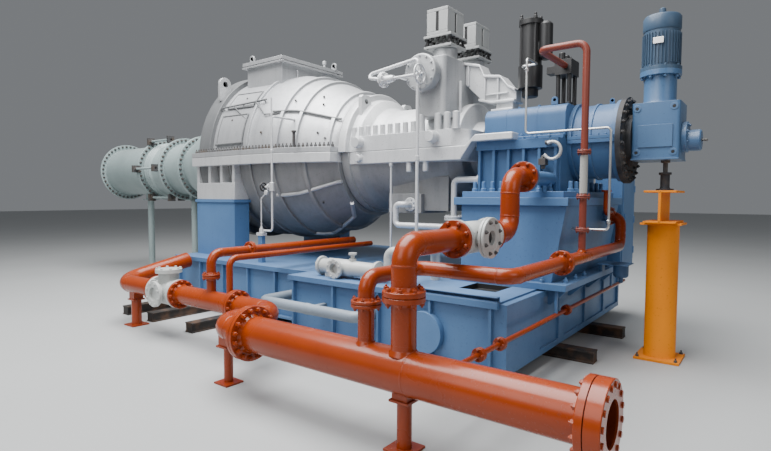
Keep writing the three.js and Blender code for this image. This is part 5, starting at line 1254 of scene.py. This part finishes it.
build("jack_base", [
    standing(*STAND, [(BEAM_TOP, 0.08), (1.743, 0.08), (1.747, 0.05), (1.76, 0.043), (1.885, 0.043),
                      (1.888, 0.058), (1.91, 0.058), (1.91, 0.025), (1.735, 0.025)]),
], RING_STEEL, "jack_body")
build("jack_thread", [
    standing(*STAND, thread, 32),
    standing(*STAND, [(2.006, 0.036), (2.01, 0.042), (2.031, 0.042)], 40),
], HANDLE_STEEL, "jack_screw", body="jack")


# Oil piping
# Welded steel pipe in flanged lengths, in orange-red enamel that has run glossy over the bends. The
# front header feeds a large riser to the bearing housing, and a smaller one that goes round to the
# pedestal's port and ends in a flanged stub.

ORANGE = enamel("orange_red_enamel", (0.285, 0.037, 0.003), (0.215, 0.026, 0.002), 0.24, dust=0.02, coat=0.15,
                wear=0.03, specular=0.3)
HEADER_Y = -3.25
PIPE_Z = 0.515
HEADER_LEFT = 0.107
HEADER_RIGHT = 2.945
HEADER_RADIUS = 0.147
HEADER_RIM = 0.228
HEADER_BORE = 0.125
GASKET_X = 2.86
BACK_Y = -2.655
BACK_LEFT = -1.94
BACK_RIGHT = -0.88
BACK_RADIUS = 0.108
JOG_X = -0.3
RISER_X = 1.66
RISER_RADIUS = 0.084
RISER_FOOT = 0.7
RISER_TOP = 1.34
VALVE_FRONT = -2.59
VALVE_REAR = -2.05
RING_RISER_X = 1.345
RING_PIPE = 0.057
RING_X = 2.12
RING_Z = 1.1
BROWN_Y = -1.05
DRAIN_LINE_X = 1.88
SHOE_Z = 0.34

# Flange sizes: radius, thickness, number of bolts, their nuts' width and the pipe's radius.
HEADER_FLANGE = (HEADER_RIM, 0.035, 16, 0.036, HEADER_RADIUS)
BACK_FLANGE = (0.165, 0.035, 12, 0.03, BACK_RADIUS)
RISER_FLANGE = (0.142, 0.035, 8, 0.03, RISER_RADIUS)
RISER_JOINT = (0.142, 0.0365, 8, 0.03, RISER_RADIUS)
RING_FLANGE = (0.105, 0.024, 8, 0.022, RING_PIPE)
BRANCH_FLANGE = (0.095, 0.024, 8, 0.02, 0.05)


def flange_pair(face, along, size):
    """Two flanges that meet at face, with their pipes going off both ways."""
    return flange(face, along, *size) + flange(face, [-part for part in along], *size)


def weld(centre, along, radius):
    """A bead of weld round a pipe: radius + 3.5 mm * the sine of half a turn over its width."""
    turn = np.linspace(0, pi, 7)
    return lathe([(-0.007 * cos(a), radius - 0.001 + 0.0035 * sin(a)) for a in turn], centre, along)


def post_and_shoe(x, y, tube, foot):
    """A pipe post: foot plate, tube, top plate and the square shoe the pipe is welded to."""
    return [block(x, y, foot, foot, 0, 0.015), standing(x, y, [(0.014, tube), (SHOE_Z - 0.014, tube)], 40),
            block(x, y, 0.075, 0.075, SHOE_Z - 0.015, SHOE_Z),
            block(x, y, 0.06, 0.06, SHOE_Z - 0.001, PIPE_Z)]


open_end = [(HEADER_LEFT + 0.01, HEADER_RADIUS), (HEADER_RIGHT - 0.01, HEADER_RADIUS),
            (HEADER_RIGHT - 0.01, HEADER_BORE), (HEADER_RIGHT - 0.65, HEADER_BORE)]
end_flange = [(GASKET_X + 0.003, HEADER_BORE), (GASKET_X + 0.003, HEADER_RIM),
              (HEADER_RIGHT - 0.004, HEADER_RIM), (HEADER_RIGHT, HEADER_RIM - 0.004),
              (HEADER_RIGHT, HEADER_BORE), (GASKET_X + 0.003, HEADER_BORE)]
inner_flange = [(GASKET_X - 0.07, HEADER_RADIUS - 0.002), (GASKET_X - 0.045, HEADER_RADIUS + 0.012),
                (GASKET_X - 0.045, HEADER_RIM - 0.004), (GASKET_X - 0.041, HEADER_RIM),
                (GASKET_X - 0.003, HEADER_RIM), (GASKET_X - 0.003, HEADER_BORE),
                (GASKET_X - 0.07, HEADER_RADIUS - 0.002)]
gasket = [(GASKET_X - 0.003, HEADER_BORE), (GASKET_X - 0.003, HEADER_RIM - 0.025),
          (GASKET_X + 0.003, HEADER_RIM - 0.025), (GASKET_X + 0.003, HEADER_BORE),
          (GASKET_X - 0.003, HEADER_BORE)]
header = [
    *[lathe(profile, (0, HEADER_Y, PIPE_Z), sides=96)
      for profile in (open_end, end_flange, inner_flange, gasket)],
    bolts_on_disc((HEADER_RIGHT - 0.001, HEADER_Y, PIPE_Z), RIGHT, 16, 0.197, hex_bolt(0.03, 0.01)),
    bolts_on_disc((GASKET_X - 0.044, HEADER_Y, PIPE_Z), LEFT, 16, 0.197, hex_bolt(0.034, 0.02, stud=0.008)),
    *flange((HEADER_LEFT, HEADER_Y, PIPE_Z), RIGHT, *HEADER_FLANGE),
    standing(RISER_X, HEADER_Y, [(PIPE_Z, RISER_RADIUS), (RISER_FOOT, RISER_RADIUS)], 64),
    standing(RISER_X, HEADER_Y, [(PIPE_Z + 0.115, 0.105), (PIPE_Z + 0.15, RISER_RADIUS + 0.002)], 64),
    standing(RING_RISER_X, HEADER_Y, [(PIPE_Z, RING_PIPE), (RISER_FOOT, RING_PIPE)]),
    standing(RING_RISER_X, HEADER_Y, [(PIPE_Z + 0.128, 0.075), (PIPE_Z + 0.155, 0.058)]),
    weld((1.735, HEADER_Y, PIPE_Z), RIGHT, HEADER_RADIUS),
    *post_and_shoe(1.67, HEADER_Y, 0.05, 0.1),
    piping([(DRAIN_LINE_X, HEADER_Y, PIPE_Z), (DRAIN_LINE_X, 1.7, PIPE_Z)], 0.021, sides=28),
]
for y in (-2.64, -2.29, -0.73):
    for offset, radius, length in ((0.011, 0.052, 0.022), (0.037, 0.052, 0.022), (0.024, 0.032, 0.03)):
        header.append(collar((DRAIN_LINE_X, y + offset, PIPE_Z), REAR, radius, length, 32))
    for offset, along in ((0.001, FRONT), (0.047, REAR)):
        header.append(bolts_on_disc((DRAIN_LINE_X, y + offset, PIPE_Z), along, 4, 0.038,
                                    hex_bolt(0.018, 0.014, stud=0.006)))
build("header_pipe", header, ORANGE, "oil_header")
build("drain_hangers", [block(DRAIN_LINE_X, y, 0.012, 0.015, PIPE_Z, DECK_Z) for y in (-1.01, 1.01)], BLUE)

build("header_back_pipe", [
    piping([(HEADER_LEFT, HEADER_Y, PIPE_Z), (JOG_X, HEADER_Y, PIPE_Z), (JOG_X, BACK_Y, PIPE_Z),
            (BACK_RIGHT, BACK_Y, PIPE_Z)], 0.112, 0.16, 64),
    weld((JOG_X + 0.16, HEADER_Y, PIPE_Z), RIGHT, 0.112),
    weld((JOG_X - 0.16, BACK_Y, PIPE_Z), RIGHT, 0.112),
    lathe([(0, 0.1465), (0.085, 0.1465), (0.15, 0.113)], (HEADER_LEFT - 0.03, HEADER_Y, PIPE_Z), LEFT, 80),
    *flange((HEADER_LEFT, HEADER_Y, PIPE_Z), LEFT, *HEADER_FLANGE),
    piping([(BACK_LEFT + 0.01, BACK_Y, PIPE_Z), (BACK_RIGHT + 0.01, BACK_Y, PIPE_Z)], BACK_RADIUS, sides=64),
    *flange_pair((BACK_RIGHT, BACK_Y, PIPE_Z), RIGHT, BACK_FLANGE),
    *flange((BACK_LEFT, BACK_Y, PIPE_Z), RIGHT, *BACK_FLANGE),
    piping([(-1.32, BACK_Y, PIPE_Z), (-1.32, BACK_Y, 1.03), (-1.32, -0.3, 1.03)], 0.05, 0.12, 40),
    *flange_pair((-1.32, BACK_Y, 0.785), UP, BRANCH_FLANGE),
    *flange_pair((-1.32, -2.13, 1.03), REAR, BRANCH_FLANGE),
    weld((-1.32, BACK_Y + 0.12, 1.03), REAR, 0.05),
    piping([(-0.995, BACK_Y, PIPE_Z), (-0.995, BACK_Y, 1), (-0.995, -0.3, 1)], 0.034, 0.09, 36),
    weld((-0.995, BACK_Y + 0.09, 1), REAR, 0.034),
    *post_and_shoe(JOG_X + 0.04, HEADER_Y + 0.04, 0.04, 0.09),
], ORANGE, "oil_header_back")
build("header_tail_pipe", [
    piping([(-2.42, BACK_Y, PIPE_Z), (-3.31, BACK_Y, PIPE_Z), (-3.31, -1.7, 0.72)], BACK_RADIUS, 0.23, 64),
    weld((-3.08, BACK_Y, PIPE_Z), RIGHT, BACK_RADIUS),
    *flange((-2.42, BACK_Y, PIPE_Z), LEFT, *BACK_FLANGE),
    *post_and_shoe(-2.95, BACK_Y, 0.06, 0.11),
], ORANGE, "oil_header_tail")

build("riser_pipe", [
    piping([(RISER_X, HEADER_Y, RISER_FOOT), (RISER_X, HEADER_Y, RISER_TOP),
            (RISER_X, VALVE_FRONT, RISER_TOP)], RISER_RADIUS, 0.13, 64),
    *flange_pair((RISER_X, HEADER_Y, 1.0125), UP, RISER_JOINT),
    *flange((RISER_X, VALVE_FRONT, RISER_TOP), FRONT, *RISER_FLANGE),
    weld((RISER_X, HEADER_Y, RISER_TOP - 0.13), UP, RISER_RADIUS),
    weld((RISER_X, HEADER_Y + 0.13, RISER_TOP), REAR, RISER_RADIUS),
], ORANGE, "large_riser")
build("bend_to_housing", [
    piping([(RISER_X, VALVE_REAR, RISER_TOP), (RISER_X, -1.63, RISER_TOP), (RISER_X, -1.63, STUB[2]), STUB],
           RISER_RADIUS, 0.15, 64),
    *flange((RISER_X, VALVE_REAR, RISER_TOP), REAR, *RISER_FLANGE),
    *flange(STUB, FRONT, *RISER_FLANGE),
    weld((RISER_X, -1.63, RISER_TOP + 0.15), UP, RISER_RADIUS),
    weld((RISER_X, -1.63, STUB[2] - 0.15), UP, RISER_RADIUS),
    weld((RISER_X, -1.78, RISER_TOP), REAR, RISER_RADIUS),
], ORANGE, "riser_bend")

_, port_y, port_z = PORT
build("ring_pipe_run", [
    piping([(RING_RISER_X, HEADER_Y, RISER_FOOT), (RING_RISER_X, HEADER_Y, RING_Z),
            (RING_RISER_X, -2.61, RING_Z), (RING_X, -2.61, RING_Z), (RING_X, port_y, RING_Z),
            (RING_X, port_y, port_z), PORT], RING_PIPE, sides=48),
    *flange_pair((RING_RISER_X, HEADER_Y, 0.925), UP, RING_FLANGE),
    *flange_pair((RING_X, -1.6, RING_Z), REAR, RING_FLANGE),
    *flange(PORT, RIGHT, *RING_FLANGE),
    weld((RING_X, -2.51, RING_Z), REAR, RING_PIPE),
    weld((RING_X - 0.1, -2.61, RING_Z), RIGHT, RING_PIPE),
    weld((RING_X, port_y, RING_Z + 0.1), UP, RING_PIPE),
    piping([(2.04, 0.33, 1.48), (2.04, 0.06, 1.48), (2.04, 0.06, 1.725)], 0.029, 0.06),
    collar((2.04, 0.06, 1.725), UP, 0.052, 0.02),
    collar((2.04, 0.33, 1.48), REAR, 0.036, 0.06, 32),
    standing(RING_X, BROWN_Y, [(RING_Z, 0.032), (1.18, 0.032)], 36),
    standing(RING_X, BROWN_Y, [(RING_Z + 0.05, 0.044), (RING_Z + 0.066, 0.033)], 36),
], ORANGE, "ring_pipe")


# Brown riser and control valves
# A thin line in red-brown primer up to the black control valves on the bearing cover. One length of it
# is wrapped in pale tape.

BROWN = enamel("red_brown_primer", (0.2, 0.03, 0.013), (0.145, 0.022, 0.01), 0.45, coat=0.1, wear=0.15)
TAPE = enamel("pale_tape", (0.37, 0.37, 0.35), (0.3, 0.295, 0.275), 0.7, coat=0.0, peel=0.002)
BROWN_TOP = 3.06
VALVES_X = 1.68
VALVES_Y = -0.33
THIN_FLANGE = (0.062, 0.0145, 4, 0.016, 0.032)
brown = [piping([(RING_X, BROWN_Y, 1.18), (RING_X, BROWN_Y, BROWN_TOP), (VALVES_X, BROWN_Y, BROWN_TOP),
                 (VALVES_X, VALVES_Y, BROWN_TOP)], 0.032, 0.09, 36)]
for z in (1.353, 1.66, 2.07):
    brown += flange_pair((RING_X, BROWN_Y, z), UP, THIN_FLANGE)
tape = [(z, 0.0338 if step % 2 else 0.0352) for step, z in enumerate(np.linspace(1.69, 2.04, 36))]
build("brown_pipe", brown, BROWN, "brown_riser")
build("pipe_tape", [standing(RING_X, BROWN_Y, tape, 40)], TAPE)
build("control_valve_block", [
    brick((VALVES_X - 0.11, VALVES_X + 0.07), (VALVES_Y, VALVES_Y + 0.26), (2.97, 3.13)),
    brick((VALVES_X - 0.21, VALVES_X - 0.1), (VALVES_Y + 0.04, VALVES_Y + 0.16), (3, 3.08)),
    *[standing(VALVES_X - 0.05, y, [(3.115, 0.034), (3.205, 0.034), (3.215, 0.024)], 32)
      for y in (VALVES_Y + 0.06, VALVES_Y + 0.2)],
    *[standing(x, y, [(COVER_TOP_Z, 0.034), (COVER_TOP_Z + 0.02, 0.034), (COVER_TOP_Z + 0.021, 0.022),
                      (2.98, 0.022)], 28)
      for x in (VALVES_X - 0.08, VALVES_X + 0.04) for y in (VALVES_Y + 0.04, VALVES_Y + 0.22)],
    repeat(hex_bolt(0.02, 0.014), grid((VALVES_X - 0.095, VALVES_X + 0.055),
                                       (VALVES_Y + 0.015, VALVES_Y + 0.245), 3.129)),
], BLACK, "control_valves", bevel=0.003)


# White valves and lines
# Stop and drain valves with cast bodies and bolted flanges, in the makers' ivory enamel, and the short
# white line along the skid's foot, painted a darker blue grey for its shade and the blue it reflects.

IVORY = enamel("ivory_enamel", (0.5, 0.515, 0.5), (0.39, 0.405, 0.395), 0.35, dust=0.3, coat=0.3)
# The white line's paint is darkened and blued: painted shade and a painted reflection of the blue round it.
WHITE_LINE_SHADE = enamel("white_pipe_painted_shade", (0.22, 0.27, 0.325), (0.17, 0.21, 0.26), 0.4, coat=0.1)
VALVE_FLANGE = (0.165, 0.035, 12, 0.03, 0.112)
RISER_VALVE_FLANGE = (0.142, 0.035, 8, 0.03, 0.09)
branch = (-2.17, -2.86, PIPE_Z)
build("header_valve_body", [
    lathe([(-2.41, 0.112), (-2.33, 0.115), (-2.29, 0.15), (-2.05, 0.15), (-2.01, 0.115), (-1.95, 0.112)],
          (0, BACK_Y, PIPE_Z), sides=64),
    *flange((BACK_LEFT, BACK_Y, PIPE_Z), LEFT, *VALVE_FLANGE),
    *flange((-2.42, BACK_Y, PIPE_Z), RIGHT, *VALVE_FLANGE),
    standing(-2.17, BACK_Y, [(PIPE_Z, 0.115), (0.745, 0.115), (0.746, 0.15), (0.79, 0.15)], 56),
    bolts_on_disc((-2.17, BACK_Y, 0.789), UP, 8, 0.13, hex_bolt(0.026, 0.02)),
    lathe([(0.035, 0.08), (0, 0.08), (0, 0.146), (0.004, 0.15), (0.035, 0.15), (0.035, 0.105),
           (0.205, 0.105)], branch, REAR, 64),
    bolts_on_disc((-2.17, -2.859, PIPE_Z), FRONT, 8, 0.125, hex_bolt(0.024, 0.014)),
], IVORY, "header_valve")

cover_line = (0, -2.32, RISER_TOP)
build("riser_valve_body", [
    lathe([(-2.58, 0.09), (-2.47, 0.095), (-2.42, 0.125), (-2.22, 0.125), (-2.17, 0.095), (-2.06, 0.09)],
          (RISER_X, 0, RISER_TOP), REAR, 64),
    *flange((RISER_X, VALVE_FRONT, RISER_TOP), REAR, *RISER_VALVE_FLANGE),
    *flange((RISER_X, VALVE_REAR, RISER_TOP), FRONT, *RISER_VALVE_FLANGE),
    lathe([(1.7, 0.082), (1.78, 0.082), (1.78, 0.154), (1.783, 0.158), (1.802, 0.158), (1.804, 0.154),
           (1.804, 0.14), (1.808, 0.14), (1.808, 0.154), (1.81, 0.158), (1.827, 0.158), (1.83, 0.154),
           (1.83, 0.1), (1.826, 0.098), (1.826, 0.058), (1.795, 0.054)], cover_line, sides=72),
], IVORY, "riser_valve")
build("riser_valve_nuts", [
    bolts_on_disc((1.829, -2.32, RISER_TOP), RIGHT, 8, 0.127, hex_bolt(0.026, 0.014, stud=0.008)),
    bolts_on_disc((1.781, -2.32, RISER_TOP), LEFT, 8, 0.127, hex_bolt(0.026, 0.018)),
], BOLT_STEEL)
# A black disc at the bottom of the cover's bore: painted shade in the bore.
build("riser_valve_shade_in_bore", [lathe([(1.794, 0.052), (1.797, 0.052)], cover_line, sides=40)], BLACK)

build("white_pipe", [
    piping([(-1.095, -1.56, 0.468), (-1.095, -2.15, 0.468), (0.32, -2.15, 0.468), (0.32, -1.88, 0.468)],
           0.057, 0.09, 48),
    brick((-0.385, -0.335), (-2.15, -1.88), (0.448, 0.488)),
    collar((-0.36, -2.15, 0.468), RIGHT, 0.061, 0.05),
], WHITE_LINE_SHADE, "white_line", bevel=0.002)

VALVE_Z = 0.866
build("drain_valve_body", [
    lathe([(-0.58, 0.08), (-0.48, 0.084), (-0.46, 0.094), (-0.12, 0.094), (-0.1, 0.084), (0.24, 0.08)],
          (0, -1.7, VALVE_Z), sides=64),
    collar((-0.575, -1.7, VALVE_Z), RIGHT, 0.108, 0.03, 64),
    collar((0.235, -1.7, VALVE_Z), RIGHT, 0.108, 0.03, 64),
    bolts_on_disc((-0.589, -1.7, VALVE_Z), LEFT, 8, 0.09, hex_bolt(0.02, 0.014)),
    bolts_on_disc((0.221, -1.7, VALVE_Z), LEFT, 8, 0.096, hex_bolt(0.018, 0.014)),
    lathe([(0.06, 0.06), (0, 0.06), (0, 0.105), (0.003, 0.108), (0.03, 0.108), (0.03, 0.076), (0.1, 0.076)],
          (-0.27, -1.85, VALVE_Z), REAR, 64),
    bolts_on_disc((-0.27, -1.849, VALVE_Z), FRONT, 8, 0.088, hex_bolt(0.02, 0.012)),
    piping([(0.24, -1.7, VALVE_Z), (0.37, -1.7, VALVE_Z), (0.37, -1.7, 1.09), (0.62, -1.7, 1.09),
            (0.62, -1.19, 1.09), (0.62, -1.19, DECK_Z)], 0.052, 0.075, 48),
    standing(-0.12, -1.7, [(VALVE_Z, 0.04), (0.975, 0.04), (0.976, 0.022), (1.016, 0.022), (1.017, 0.045),
                           (1.041, 0.045)], 36),
    *[block(x, -1.7, 0.04, 0.06, DECK_Z, VALVE_Z) for x in (-0.44, 0.08)],
], IVORY, "drain_valve", bevel=0.002)


# Floor, lights and camera
# A plain pale sheet of floor, far wider than the machine, three large square lamps and a dim pale sky.
# The camera stands where the photograph was taken from.

floor_finish = Finish("studio_floor", roughness=0.6)
cloud = floor_finish.noise(0.6)
floor_finish.drive("Base Color", floor_finish.mix(cloud, (0.36, 0.37, 0.37), (0.4, 0.41, 0.41)))
sheet = bpy.data.meshes.new("studio_floor")
sheet.from_pydata([(-60, -60, 0), (60, -60, 0), (60, 60, 0), (-60, 60, 0)], [], [(0, 1, 2, 3)])
sheet.materials.append(floor_finish.material)
floor = bpy.data.objects.new("studio_floor", sheet)
bpy.context.scene.collection.objects.link(floor)


def soft_light(name, place, size, power):
    """A large square lamp that faces the middle of the machine."""
    lamp = bpy.data.lights.new(name, "AREA")
    lamp.energy = power
    lamp.size = size
    lit = bpy.data.objects.new(name, lamp)
    lit.location = place
    lit.rotation_euler = (Vector((-1.2, 0, 1.8)) - Vector(place)).to_track_quat("-Z", "Y").to_euler()
    bpy.context.scene.collection.objects.link(lit)


soft_light("ceiling_light", (-1.5, -2.5, 10), 9, 3400)
soft_light("front_light", (-1, -12, 8), 7, 560)
soft_light("right_light", (11, -5, 7), 6, 260)
world = bpy.data.worlds.new("studio")
world.use_nodes = True
sky = world.node_tree.nodes["Background"]
sky.inputs["Color"].default_value = (0.86, 0.9, 0.95, 1)
sky.inputs["Strength"].default_value = 0.22
bpy.context.scene.world = world

CAMERA_PLACE = (3.58, -5.97, 1.65)
CAMERA_AZIMUTH = radians(37.3)
CAMERA_PITCH = radians(3.15)
CAMERA_ROLL = radians(0.25)
lens = bpy.data.cameras.new("camera")
lens.lens = 24.28
lens.sensor_width = 36
lens.clip_end = 200
camera = bpy.data.objects.new("camera", lens)
upright = Matrix.Rotation(CAMERA_AZIMUTH, 4, "Z") @ Matrix.Rotation(pi / 2 - CAMERA_PITCH, 4, "X")
camera.matrix_world = Matrix.Translation(CAMERA_PLACE) @ upright @ Matrix.Rotation(CAMERA_ROLL, 4, "Z")
bpy.context.scene.collection.objects.link(camera)
bpy.context.scene.camera = camera
